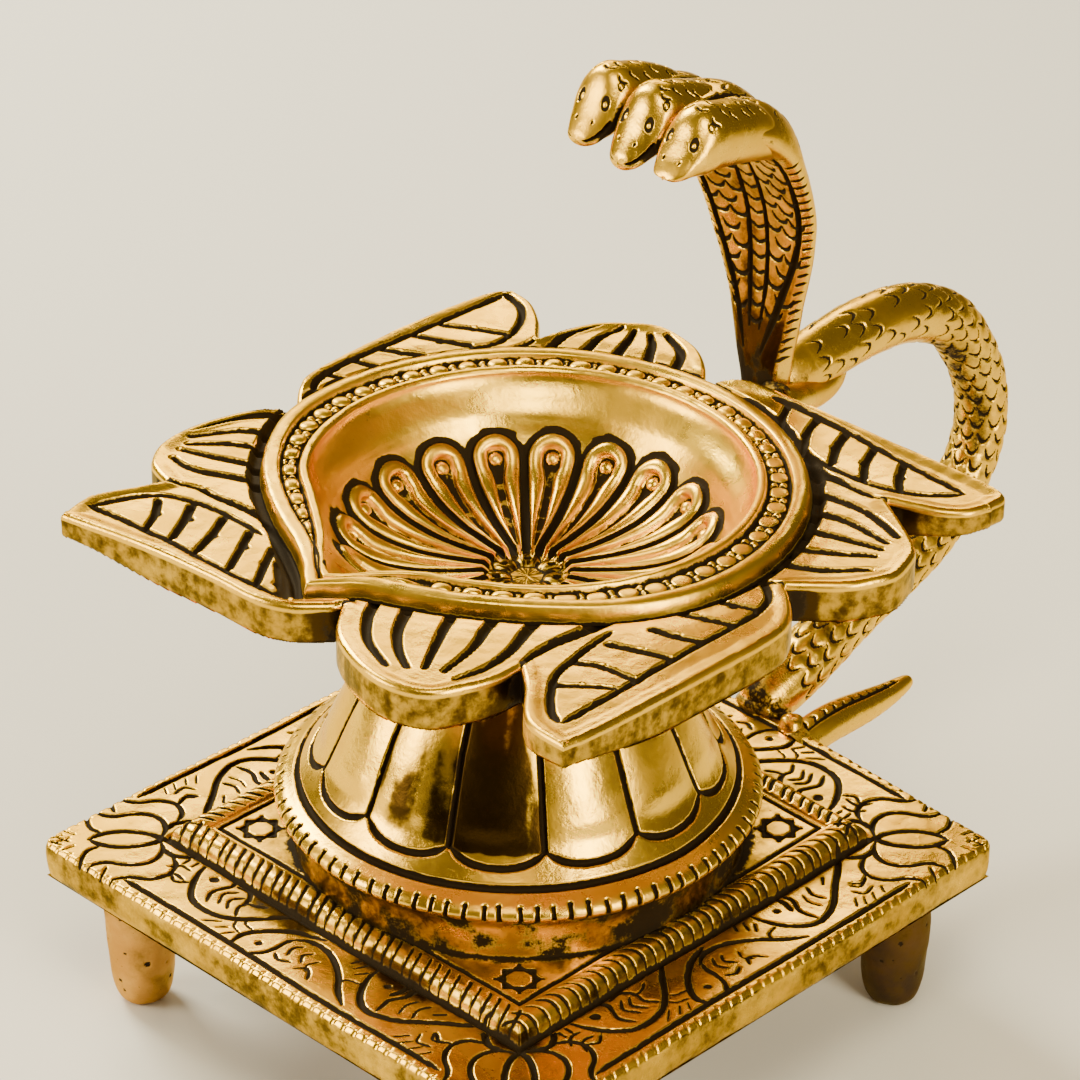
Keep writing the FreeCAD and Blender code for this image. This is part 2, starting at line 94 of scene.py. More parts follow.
class Relief:
    """Cut depth, rise and black antiquing over a regular sheet of surface.

    v is in millimetres; u is in any unit, worth `worth` millimetres each, which may change with v."""

    def __init__(self, u, v, worth=1.0, wrap=False):
        self.u = np.asarray(u, float)
        self.v = np.asarray(v, float)
        self.worth = np.broadcast_to(np.asarray(worth, float), self.v.shape)
        self.wrap = wrap
        self.cut = np.zeros((len(u), len(v)))
        self.rise = np.zeros((len(u), len(v)))
        self.ink = np.zeros((len(u), len(v)))

    def window(self, u_low, u_high, v_low, v_high):
        j = np.arange(np.searchsorted(self.v, v_low), np.searchsorted(self.v, v_high, "right"))
        du = self.u[1] - self.u[0]
        i = np.arange(math.floor((u_low - self.u[0]) / du), math.ceil((u_high - self.u[0]) / du) + 1)
        where = self.u[0] + i * du
        if self.wrap:
            i = i % len(self.u)
        else:
            keep = (i >= 0) & (i < len(self.u))
            i, where = i[keep], where[keep]
        return i, j, where

    def reach(self, v_at, radius):
        k = min(max(np.searchsorted(self.v, v_at), 0), len(self.v) - 1)
        return radius / max(self.worth[k], 1e-6) * 1.15

    def stroke(self, points, width, depth=0.6, ink=1.0, taper=0.15, end=None, power=0.7):
        """Chiselled groove along a curve, thinning at its ends; its width runs to `end` if that is given."""
        end = width if end is None else end
        line = smooth(points)
        count = len(line) - 1
        for k in range(count):
            a, b = line[k], line[k + 1]
            along = (k + 0.5) / count
            swell = 1.0
            if taper:
                swell = min(1.0, 0.35 + 0.65 * min(along, 1 - along) / taper)
            half = (width + (end - width) * along) * swell / 2
            pad = half * 1.7 + 0.05
            pad_u = max(self.reach(a[1], pad), self.reach(b[1], pad))
            i, j, where = self.window(min(a[0], b[0]) - pad_u, max(a[0], b[0]) + pad_u,
                                      min(a[1], b[1]) - pad, max(a[1], b[1]) + pad)
            if len(i) == 0 or len(j) == 0:
                continue
            scale = self.worth[j][None]
            x = (where[:, None] - a[0]) * scale
            y = np.broadcast_to(self.v[j][None] - a[1], x.shape)
            dx, dy = (b[0] - a[0]) * scale, b[1] - a[1]
            t = np.clip((x * dx + y * dy) / (dx * dx + dy * dy + 1e-9), 0, 1)
            q = np.hypot(x - t * dx, y - t * dy) / half
            spot = np.ix_(i, j)
            self.cut[spot] = np.maximum(self.cut[spot], depth * swell * np.clip(1 - q * q, 0, 1) ** power)
            self.ink[spot] = np.maximum(self.ink[spot], ink * np.clip((1.35 - q) / 0.6, 0, 1))

    def blob(self, u, v, radius, height, ink=0.0, ring=0.0, clean=False):
        """Round boss (height > 0) or dimple (height < 0), blackened, ringed with black or rubbed clean."""
        pad = radius * 1.6
        i, j, where = self.window(u - self.reach(v, pad), u + self.reach(v, pad), v - pad, v + pad)
        if len(i) == 0 or len(j) == 0:
            return
        x = (where[:, None] - u) * self.worth[j][None]
        q = np.hypot(x, self.v[j][None] - v) / radius
        spot = np.ix_(i, j)
        if height > 0:
            self.rise[spot] = np.maximum(self.rise[spot], height * dome(q))
        else:
            self.cut[spot] = np.maximum(self.cut[spot], -height * dome(q))
        self.ink[spot] = np.maximum(self.ink[spot], ink * np.clip((1.15 - q) / 0.3, 0, 1))
        if clean:
            self.ink[spot] *= np.clip((q - 0.9) / 0.3, 0, 1)
        if ring:
            self.ink[spot] = np.maximum(self.ink[spot], ring * np.clip(1 - np.abs(q - 1.12) / 0.28, 0, 1))

    def height(self):
        return self.rise - self.cut


# ---------------------------------------------------------------- meshes
def build(name, points, faces, **layers):
    """Smooth mesh object from millimetre points and quads, with its layers of antiquing, stains and painted
    light on the vertices.
    """
    mesh = bpy.data.meshes.new(name)
    points = np.asarray(points, float).reshape(-1, 3) * MM
    counts = np.concatenate([np.full(len(f), f.shape[1]) for f in faces])
    corners = np.concatenate([f.ravel() for f in faces])
    mesh.vertices.add(len(points))
    mesh.vertices.foreach_set("co", points.ravel())
    mesh.loops.add(len(corners))
    mesh.loops.foreach_set("vertex_index", corners.astype(np.int32))
    mesh.polygons.add(len(counts))
    mesh.polygons.foreach_set("loop_start", np.concatenate([[0], np.cumsum(counts)[:-1]]).astype(np.int32))
    mesh.polygons.foreach_set("use_smooth", np.full(len(counts), True))
    mesh.update(calc_edges=True)
    for label, values in layers.items():
        layer = mesh.attributes.new(label, "FLOAT", "POINT")
        layer.data.foreach_set("value", np.asarray(values, np.float32))
    thing = bpy.data.objects.new(name, mesh)
    bpy.context.scene.collection.objects.link(thing)
    return thing


def grid_faces(nu, nv, wrap_u=False, wrap_v=False, start=0, flip=False):
    """Quads of a grid whose vertex (i, j) has number start + i * nv + j."""
    i = np.arange(nu if wrap_u else nu - 1)
    j = np.arange(nv if wrap_v else nv - 1)
    i, j = np.meshgrid(i, j, indexing="ij")
    a = start + i * nv + j
    b = start + (i + 1) % nu * nv + j
    c = start + (i + 1) % nu * nv + (j + 1) % nv
    d = start + i * nv + (j + 1) % nv
    quads = np.stack([a, b, c, d], -1).reshape(-1, 4)
    return quads[:, ::-1] if flip else quads


class Shell:
    """Collects the sheets of one piece into one mesh."""

    def __init__(self):
        self.points, self.faces, self.ink, self.stain, self.count = [], [], [], [], 0

    def grid(self, points, wrap_u=False, wrap_v=False, flip=False, ink=0.0, stain=0.0):
        nu, nv = points.shape[:2]
        self.faces.append(grid_faces(nu, nv, wrap_u, wrap_v, self.count, flip))
        self.add(points, ink, stain)

    def add(self, points, ink=0.0, stain=0.0):
        shape = points.shape[:-1]
        self.points.append(points.reshape(-1, 3))
        self.ink.append(np.broadcast_to(ink, shape).ravel())
        self.stain.append(np.broadcast_to(stain, shape).ravel())
        self.count += int(np.prod(shape))

    def cells(self, points, keep, ink=0.0, stain=0.0, flip=False):
        """The cells of a sheet whose four corners are kept, and only the points that they use."""
        number = np.arange(keep.size).reshape(keep.shape)
        whole = keep[:-1, :-1] & keep[1:, :-1] & keep[1:, 1:] & keep[:-1, 1:]
        quads = np.stack([number[:-1, :-1], number[1:, :-1], number[1:, 1:], number[:-1, 1:]], -1)[whole]
        used = np.unique(quads)
        renumber = np.full(keep.size, -1)
        renumber[used] = np.arange(len(used)) + self.count
        self.faces.append(renumber[quads[:, [0, 3, 2, 1]] if flip else quads])
        self.add(points.reshape(-1, 3)[used], np.broadcast_to(ink, keep.shape).ravel()[used],
                 np.broadcast_to(stain, keep.shape).ravel()[used])

    def make(self, name, nodes, material):
        """The finished piece, in place of its CAD nodes."""
        piece = build(name, np.vstack(self.points), self.faces, ink=np.concatenate(self.ink),
                      stain=np.concatenate(self.stain))
        piece.data.materials.append(material)
        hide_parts(*nodes)
        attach(piece, "root")


def arc_lengths(profile):
    """Distance along a curve at each of its points."""
    steps = np.hypot(*np.diff(np.asarray(profile), axis=0).T)
    return np.concatenate([[0], np.cumsum(steps)])


# ---------------------------------------------------------------- materials
INK_COLOUR = (0.014, 0.008, 0.004)
BROWN = (0.125, 0.070, 0.007)
DEEP_BROWN = (0.020, 0.009, 0.004)
SHEEN = (1.0, 0.86, 0.52, 1.0)


def brass(name, gold, tint, rough, wear=1.0, brush=0.0):
    """Polished cast brass with black antiquing, brown stains, and in places painted shadow and painted
    reflection, driven by the mesh's ink and stain layers.
    """
    mat = bpy.data.materials.new(name)
    mat.use_nodes = True
    tree = mat.node_tree
    tree.nodes.clear()

    def node(kind, **values):
        made = tree.nodes.new(kind)
        for key, value in values.items():
            if key in made.inputs:
                made.inputs[key].default_value = value
            else:
                setattr(made, key, value)
        return made

    def link(a, out, b, into):
        tree.links.new(a.outputs[out], b.inputs[into])

    def noise(scale, detail, roughness=0.6, stretch=None):
        made = node("ShaderNodeTexNoise", Scale=scale, Detail=detail, Roughness=roughness)
        if stretch:
            source = node("ShaderNodeMapping", Scale=stretch)
            link(coords, "Object", source, "Vector")
            link(source, "Vector", made, "Vector")
        else:
            link(coords, "Object", made, "Vector")
        return made.outputs["Fac"]

    def math_node(kind, a, b, clamp=False):
        made = node("ShaderNodeMath", operation=kind, use_clamp=clamp)
        for slot, value in enumerate((a, b)):
            if isinstance(value, (int, float)):
                made.inputs[slot].default_value = value
            else:
                tree.links.new(value, made.inputs[slot])
        return made.outputs[0]

    def swing(value, amount):
        """A noise made to swing either side of zero."""
        return math_node("MULTIPLY", math_node("SUBTRACT", value, 0.5), amount)

    def plus(a, b):
        return math_node("ADD", a, b)

    def spread(value, low, high, out_low=0.0, out_high=1.0):
        made = node("ShaderNodeMapRange", interpolation_type="SMOOTHSTEP")
        tree.links.new(value, made.inputs["Value"])
        for key, number in (("From Min", low), ("From Max", high), ("To Min", out_low), ("To Max", out_high)):
            made.inputs[key].default_value = number
        return made.outputs["Result"]

    def mix(fac, a, b):
        made = node("ShaderNodeMix", data_type="RGBA")
        for key, value in ((0, fac), (6, a), (7, b)):
            if isinstance(value, tuple):
                made.inputs[key].default_value = (*value, 1.0)
            elif isinstance(value, float):
                made.inputs[key].default_value = value
            else:
                tree.links.new(value, made.inputs[key])
        return made.outputs[2]

    shader = node("ShaderNodeBsdfPrincipled")
    link(shader, "BSDF", node("ShaderNodeOutputMaterial"), "Surface")
    coords = node("ShaderNodeTexCoord")
    ink = node("ShaderNodeAttribute", attribute_name="ink").outputs["Fac"]
    stain = node("ShaderNodeAttribute", attribute_name="stain").outputs["Fac"]
    cloud = noise(90.0, 5.0)
    grain = noise(1500.0, 3.0, 0.7)
    blotch = noise(420.0, 6.0, 0.65)
    speck = noise(2600.0, 2.0, 0.5)
    scratch = noise(260.0, 3.0, stretch=(1.0, 9.0, 3.0))

    # polished colour: warm gold with slow changes between yellow and orange brass
    colour = mix(spread(cloud, 0.35, 0.68), gold, tint)
    # black where the ink layer says: antiquing, and at the pedestal's foot partly painted shadow; with a
    # ragged worn edge
    black = spread(plus(plus(ink, swing(blotch, 1.0)), swing(speck, 0.35)), 0.48, 0.72)
    # brown from the stain layer: heat stains, and in places painted shadow and painted reflection; nearly
    # black at their deepest
    brown = spread(plus(stain, swing(blotch, 0.6)), 0.30, 0.85)
    colour = mix(brown, colour, BROWN)
    colour = mix(math_node("MULTIPLY", spread(brown, 0.55, 1.0), 0.75), colour, DEEP_BROWN)
    # tiny casting pits
    pits = math_node("MULTIPLY", spread(speck, 0.70, 0.76), 0.55 * wear)
    dark = math_node("MAXIMUM", black, pits, True)
    tree.links.new(mix(dark, colour, INK_COLOUR), shader.inputs["Base Color"])
    # roughness: satin polish, rougher in the black and a little in the clouds and scratches
    polish = plus(spread(cloud, 0.3, 0.7, rough * 0.8, rough * 1.25), swing(scratch, 0.06 * wear))
    polish = plus(polish, math_node("MULTIPLY", brown, 0.06))
    rough_mix = node("ShaderNodeMix", data_type="FLOAT")
    tree.links.new(dark, rough_mix.inputs[0])
    tree.links.new(polish, rough_mix.inputs[2])
    rough_mix.inputs[3].default_value = 0.75
    tree.links.new(rough_mix.outputs[0], shader.inputs["Roughness"])
    tree.links.new(spread(black, 0.0, 1.0, 1.0, 0.1), shader.inputs["Metallic"])
    tree.links.new(spread(black, 0.0, 1.0, 0.5, 0.16), shader.inputs["Specular IOR Level"])
    shader.inputs["Specular Tint"].default_value = SHEEN
    # bump: hand finish, grain and slow dents, in metres
    height = plus(plus(swing(blotch, 0.00012), swing(grain, 0.00005)), swing(cloud, 0.0004))
    if brush:
        # upright file marks, on the walls only
        facing = node("ShaderNodeSeparateXYZ")
        link(coords, "Normal", facing, "Vector")
        upright = spread(math_node("ABSOLUTE", facing.outputs["Z"], 0.0), 0.2, 0.6, brush, 0.0)
        height = plus(height, swing(noise(900.0, 2.0, 0.5, stretch=(1.0, 1.0, 0.06)), upright))
    bump = node("ShaderNodeBump", Strength=0.55, Distance=1.0)
    tree.links.new(height, bump.inputs["Height"])
    link(bump, "Normal", shader, "Normal")
    return mat


ANTIQUE = brass("antique_brass", (0.90, 0.555, 0.040), (0.84, 0.49, 0.024), 0.27, brush=0.00009)
POLISHED = brass("polished_brass", (0.92, 0.58, 0.040), (0.88, 0.52, 0.026), 0.30, wear=0.4)
FOOT = brass("foot_brass", (0.66, 0.37, 0.075), (0.52, 0.26, 0.05), 0.38)
DARK = brass("dark_brass", (0.055, 0.036, 0.024), (0.13, 0.072, 0.030), 0.55)
STEEL = brass("plated_steel", (0.60, 0.58, 0.54), (0.50, 0.46, 0.40), 0.35)


# ---------------------------------------------------------------- base plate
HALF = 55.0
BASE_TOP = 31.0
BASE_BOTTOM = 24.0
PANEL_TOP = 33.15      # top of the raised panel inside the rope border
ROPE = 37.5            # middle of the rope border
STRAIGHT = 52.6        # where the rounding of a corner starts
CORNER = 2.4
BACK_BOW = 2.9
STAR_SIZE = 3.3
BASE_PITCH = 0.2
SIDE_MOTIF = [
    # (points as (along the side, out from the middle), width, depth)
    ([(33.5, 38.9), (30.5, 42.0), (26.5, 45.0), (23.0, 47.8), (20.0, 49.3), (17.5, 49.8), (15.0, 49.0),
      (12.5, 46.5), (11.0, 43.5), (10.6, 41.0)], 1.15, 0.6),
    ([(18.3, 40.5), (18.6, 43.0), (17.4, 45.5), (17.9, 48.8)], 0.8, 0.4),
    ([(16.8, 40.3), (17.0, 42.4), (16.4, 44.6)], 0.9, 0.4),
    ([(23.0, 42.2), (22.2, 44.3), (23.0, 46.4)], 0.6, 0.3),
    ([(21.0, 43.0), (20.3, 45.0), (21.0, 47.3)], 0.45, 0.25),
    ([(26.4, 42.2), (25.2, 43.4)], 0.5, 0.25),
    ([(31.4, 47.2), (29.4, 48.0), (28.2, 46.6)], 0.55, 0.3),
    ([(30.6, 49.6), (28.2, 50.0), (27.1, 48.2)], 0.55, 0.3),
    ([(31.6, 50.6), (30.9, 51.9)], 0.4, 0.25),
    ([(29.6, 50.6), (28.6, 52.2)], 0.4, 0.25),
    ([(27.6, 50.4), (26.4, 52.0)], 0.4, 0.25),
    ([(26.2, 49.8), (24.8, 51.4)], 0.4, 0.25),
    ([(13.0, 51.3), (9.6, 49.0), (7.0, 46.4), (4.0, 44.4), (1.0, 43.2), (-2.6, 43.3),
      (-4.8, 44.7)], 1.1, 0.6),
    ([(-1.0, 41.5), (-5.0, 43.0), (-8.0, 45.0), (-10.4, 47.5), (-11.7, 50.0), (-11.2, 52.8)], 1.1, 0.6),
    ([(-4.6, 44.6), (-5.3, 46.4), (-5.3, 48.6), (-6.0, 51.0), (-7.8, 52.9)], 0.8, 0.45),
    ([(-2.4, 45.0), (-3.3, 46.6), (-2.6, 48.4)], 0.6, 0.3),
    ([(-0.2, 45.3), (-1.0, 46.8), (0.1, 48.3)], 0.6, 0.3),
    ([(2.2, 46.2), (1.4, 48.0), (2.4, 49.4)], 0.5, 0.3),
    ([(4.4, 50.5), (3.2, 49.0), (2.0, 48.6), (0.9, 50.0)], 0.6, 0.35),
    ([(-0.6, 49.3), (-2.4, 50.2), (-4.0, 49.4)], 0.6, 0.35),
    ([(9.6, 43.0), (8.4, 44.6)], 0.45, 0.25),
    ([(8.4, 41.6), (7.4, 43.6)], 0.45, 0.25),
    ([(6.6, 41.4), (6.0, 42.6)], 0.45, 0.25),
    ([(11.2, 45.8), (9.0, 46.4), (8.6, 47.6)], 0.45, 0.25),
    ([(-8.5, 40.0), (-11.5, 43.0), (-14.5, 46.5), (-17.5, 48.7), (-21.0, 49.5), (-24.5, 49.0),
      (-27.0, 47.0), (-29.0, 44.0), (-30.2, 40.8)], 1.15, 0.6),
    ([(-23.6, 40.6), (-22.8, 42.0), (-23.3, 43.6), (-23.9, 45.6), (-22.6, 47.9)], 0.8, 0.45),
    ([(-20.7, 42.7), (-22.0, 44.6), (-20.7, 47.0)], 0.6, 0.35),
    ([(-19.0, 43.0), (-20.2, 44.8), (-18.8, 46.8)], 0.6, 0.35),
    ([(-17.4, 43.6), (-17.8, 45.1), (-16.4, 47.0)], 0.6, 0.35),
    ([(-21.8, 41.4), (-19.6, 41.0), (-18.0, 42.4), (-17.7, 43.8)], 0.8, 0.4),
    ([(-14.4, 42.0), (-16.0, 43.0), (-17.4, 43.3)], 0.55, 0.3),
    ([(-11.6, 48.0), (-13.6, 47.6), (-14.0, 47.0)], 0.45, 0.25),
    ([(-12.6, 49.8), (-14.6, 49.2), (-15.3, 48.2)], 0.45, 0.25),
    ([(-13.2, 50.2), (-14.2, 51.8)], 0.4, 0.25),
    ([(-15.0, 50.0), (-16.4, 51.4)], 0.4, 0.25),
    ([(-16.8, 49.6), (-19.2, 51.6)], 0.4, 0.25),
    ([(-30.6, 43.9), (-32.6, 43.9), (-34.2, 45.6)], 0.6, 0.35),
    ([(-29.8, 46.0), (-32.2, 46.0), (-33.6, 48.2)], 0.6, 0.35),
    ([(-31.6, 41.6), (-31.6, 43.0)], 0.5, 0.3),
    ([(-33.2, 41.8), (-33.0, 43.2)], 0.5, 0.3),
]
EYES = [(14.6, 43.2, 0.62), (-8.2, 49.5, 0.65), (-26.2, 42.8, 0.85)]
CORNER_MOTIF = [
    # lotus on the diagonal of a corner: points (x, y), width; each is repeated mirrored in the diagonal
    ([(40.3, 41.0), (43.0, 41.2), (46.0, 42.9), (48.1, 45.0), (49.3, 47.4), (49.5, 49.5)], 0.85),
    ([(41.5, 40.3), (43.0, 38.3), (45.5, 37.2), (48.0, 37.7), (50.0, 39.5), (51.5, 42.0), (53.4, 43.2),
      (55.2, 43.2)], 0.75),
    ([(49.3, 46.7), (51.5, 47.0), (53.4, 46.2), (55.2, 44.8)], 0.6),
    ([(43.0, 36.0), (44.5, 33.5), (47.3, 32.5), (50.0, 33.8), (51.8, 36.4), (53.6, 37.7), (55.2, 37.7)], 0.7),
    ([(52.8, 41.2), (55.0, 40.0)], 0.5),
    ([(42.7, 38.6), (43.0, 36.2), (41.7, 34.2), (40.4, 33.8)], 0.8),
    ([(52.6, 53.9), (52.0, 51.4)], 0.35),
    ([(54.2, 53.4), (53.6, 51.6)], 0.35),
    ([(54.4, 50.4), (52.4, 50.0)], 0.35),
    ([(46.8, 32.0), (47.6, 30.4), (46.4, 28.6)], 0.5),
]


def turned(points, quarter, mirrored=False):
    """Points of one corner or side, turned by quarters of a circle about the middle."""
    p = np.asarray(points, float)
    if mirrored:
        p = p[:, ::-1]
    for _ in range(quarter):
        p = np.stack([p[:, 1], -p[:, 0]], 1)
    return p


def star(centre, size):
    """Edges of an eight-pointed star made of two overlapped squares."""
    lines = []
    for turn in (0.0, math.pi / 4):
        corners = [(centre[0] + size * math.cos(turn + k * math.pi / 2),
                    centre[1] + size * math.sin(turn + k * math.pi / 2)) for k in range(5)]
        lines += list(zip(corners, corners[1:]))
    return lines


def engrave_base(relief):
    """Chisel work over the base's top, one side and one corner at a time."""
    for quarter in range(4):
        for points, width, depth in SIDE_MOTIF:
            shake = RNG.normal(0, 0.12, 2)
            local = [(out, along) for along, out in points]
            relief.stroke(turned(local, quarter) + shake, width, depth)
        for along, out, radius in EYES:
            relief.blob(*turned([(out, along)], quarter)[0], radius, -0.4, ink=1.0)
        for points, width in CORNER_MOTIF:
            for mirrored in (False, True):
                relief.stroke(turned(points, quarter, mirrored) + RNG.normal(0, 0.08, 2), width * 1.3, 0.6)
        # outer line, deep and straight, stopping before the lotuses
        line = np.array([(53.0, 35.6), (52.8, 10.0), (52.7, -14.0), (52.9, -36.5)])
        line[:, 0] += RNG.normal(0, 0.125, 4)
        relief.stroke(turned(line, quarter), 1.1, 0.75, taper=0.03)
        # chisel nicks on the outer edge, then over the rope border of the step
        for along in np.arange(-53.2, 53.4, 2.35):
            spot = along + RNG.normal(0, 0.12)
            nick = turned([(54.2, spot), (55.2, spot - 0.4)], quarter)
            relief.stroke(nick, RNG.uniform(0.7, 0.9), 0.24, ink=0.30, taper=0)
        for along in np.arange(-38.4, 38.6, 2.15):
            spot = along + RNG.normal(0, 0.15)
            nick = [(39.7, spot + 0.75), (38.6, spot + 0.6), (37.2, spot + 0.1), (35.9, spot - 0.8)]
            relief.stroke(turned(nick, quarter), RNG.uniform(0.55, 0.8), 0.42, ink=0.95, taper=0.1)
        # line inside the rope border, and the star in its corner with four dots round it
        relief.stroke(turned([(34.3, -34.3), (34.3, 0), (34.3, 34.3)], quarter), 0.95, 0.6, taper=0)
        centre = turned([(29.6, 29.6)], quarter)[0]
        for a, b in star(centre, STAR_SIZE):
            relief.stroke([a, b], 0.75, 0.45, taper=0)
        for dot in ((2.9, 0), (-2.9, 0), (0, 2.9), (0, -2.9)):
            spot = np.array(dot) @ np.array([[0.707, 0.707], [-0.707, 0.707]])
            relief.blob(*(centre + spot * 1.28), 0.4, -0.3, ink=0.9)


def make_base():
    axis = np.linspace(-HALF, HALF, int(2 * HALF / BASE_PITCH) + 1)
    size = len(axis)
    relief = Relief(axis, axis)
    engrave_base(relief)
    x, y = np.meshgrid(axis, axis, indexing="ij")
    far = np.maximum(np.abs(x), np.abs(y))
    # black trench, then the rope border, higher outside than inside, and the sunk panel within it
    z = BASE_TOP - 0.6 * (ramp(far, 39.3, 39.9) - ramp(far, 40.6, 41.3))
    rope_out = BASE_TOP + 0.1 + 2.95 * dome((far - ROPE) / 2.5)
    rope_in = PANEL_TOP + 0.9 * dome((far - ROPE) / 2.2)
    z = np.where(far < ROPE, rope_in, np.where(far < 40.0, np.maximum(z, rope_out), z))
    z -= 0.7 * np.clip((far - 54.2) / 0.8, 0, 1) ** 2.2
    shallow = lattice(size, size, 9, 9, 3) * 0.10 + lattice(size, size, 40, 40, 4) * 0.05
    z += relief.height() + shallow
    # soot in the trench, round the pedestal and among the scrolls
    radius = np.hypot(x, y)
    ragged = lattice(size, size, 70, 70, 6) * 0.28
    ink = np.maximum(relief.ink, 1.1 * (ramp(far, 39.75, 39.95) - ramp(far + ragged, 40.5, 41.0)))
    ink = np.maximum(ink, 0.75 * (1 - ramp(radius, 36.5, 39.5)))
    worn = clouds(size, size, 14, 14, 5)
    fine = clouds(size, size, 110, 110, 7)
    ink = ink + 0.24 * (1 - ramp(far, 30.0, 35.5)) * worn + 0.44 * (far > 40) * (far < 52.6) * worn * fine
    ink = ink + 0.30 * (ramp(far, 40.0, 40.6) - ramp(far, 42.0, 45.0)) * fine
    border = (far > 39.5) * worn
    stain = 0.58 * (1 - ramp(radius, 39.0, 46.0)) * (far < 34.6)
    stain = np.maximum(stain, 0.75 * (1 - ramp(far, 41.0, 48.0)) * border + 0.30 * border)
    stain = np.maximum(stain, 0.62 * (ramp(far, 38.4, 39.3) - ramp(far, 39.9, 40.1)))
    # rounded corners, slightly bowed hand-filed sides, and a back edge that bows out further
    a = np.clip((np.abs(x) - STRAIGHT) / CORNER, 0, 1)
    b = np.clip((np.abs(y) - STRAIGHT) / CORNER, 0, 1)
    px = np.sign(x) * (np.minimum(np.abs(x), STRAIGHT) + CORNER * a * np.sqrt(1 - b * b / 2))
    py = np.sign(y) * (np.minimum(np.abs(y), STRAIGHT) + CORNER * b * np.sqrt(1 - a * a / 2))
    px = px * (1 + 0.004 * np.cos(math.pi * y / 110) + 0.002 * np.sin(y / 9.0))
    bow = BACK_BOW * (np.maximum(py, 0) / 55.0) ** 1.5 * np.cos(math.pi * np.clip(x, -55, 55) / 112) ** 1.2
    front_bow = 0.004 * py * np.cos(math.pi * x / 110)
    py = py * (1 + 0.002 * np.sin(x / 8.0 + 1)) + np.where(py > 0, bow, front_bow)
    shell = Shell()
    top = np.stack([px, py, z], -1)
    shell.grid(top, ink=ink, stain=stain)

    # walls, from the rim of the top down
    def rim(field):
        return np.concatenate([field[:, 0], field[-1, 1:], field[-2::-1, -1], field[0, -2:0:-1]])

    edge = rim(top)
    levels = np.array([0.0, 0.25, 0.8, 2.0, 3.6, 5.0, 6.0, 6.6, 7.0])
    swell = np.array([0.0, 0.14, 0.22, 0.25, 0.22, 0.12, -0.1, -0.5, -1.2])
    around, tall = len(edge), len(levels)
    out = edge[:, :2] / np.linalg.norm(edge[:, :2], axis=1, keepdims=True)
    rough = lattice(around, tall, 150, 3, 8, wrap=True) * 0.10
    push = swell[None] + rough * (levels[None] > 0)
    wall = np.zeros((around, tall, 3))
    wall[..., 0] = edge[:, None, 0] + out[:, None, 0] * push
    wall[..., 1] = edge[:, None, 1] + out[:, None, 1] * push
    wall[..., 2] = edge[:, None, 2] - (edge[:, 2] - BASE_BOTTOM)[:, None] * levels[None] / levels[-1]
    side_ink = rim(ink)[:, None] * np.array([1, 0.5, 0.1, 0, 0, 0, 0, 0, 0])[None] \
        + np.array([0, 0, 0, 0, 0, 0, 0.05, 0.15, 0.3])[None]
    # painted reflection: the walls are browned all over to stand for a warm floor reflected in them
    shell.grid(wall, wrap_u=True, flip=True, ink=side_ink,
               stain=0.58 + 0.13 * lattice(around, tall, 60, 2, 9, wrap=True))
    # underside with the recess round the nut
    size = 183
    under = np.linspace(-54.6, 54.6, size)
    x, y = np.meshgrid(under, under, indexing="ij")
    hollow = 3.5 * (1 - ramp(np.hypot(x, y), 13.6, 14.2))
    z = BASE_BOTTOM + hollow + 0.12 * lattice(size, size, 20, 20, 10) * (np.maximum(abs(x), abs(y)) < 53)
    shell.grid(np.stack([x, y, z], -1), flip=True, ink=0.35 + 0.25 * lattice(size, size, 12, 12, 11),
               stain=0.7)
    shell.make("base_plate_cast", ["base_plate"], ANTIQUE)


# ---------------------------------------------------------------- turned pieces
def revolve_grid(profile, angles, relief_height=0.0):
    """Points of a turned surface, moved out along its normals by a height map (angle, profile)."""
    r, z = np.asarray(profile).T
    a = np.radians(angles)[:, None]
    slope = np.gradient(np.asarray(profile), axis=0)
    slope /= np.maximum(np.linalg.norm(slope, axis=1, keepdims=True), 1e-9)
    out = r[None] + relief_height * slope[:, 1][None]
    level = z[None] - relief_height * slope[:, 0]
    return np.stack(np.broadcast_arrays(out * np.cos(a), out * np.sin(a), level), -1)


SCALLOPS = 13
FIRST_CUSP = -121.0
NOTCHES = 88


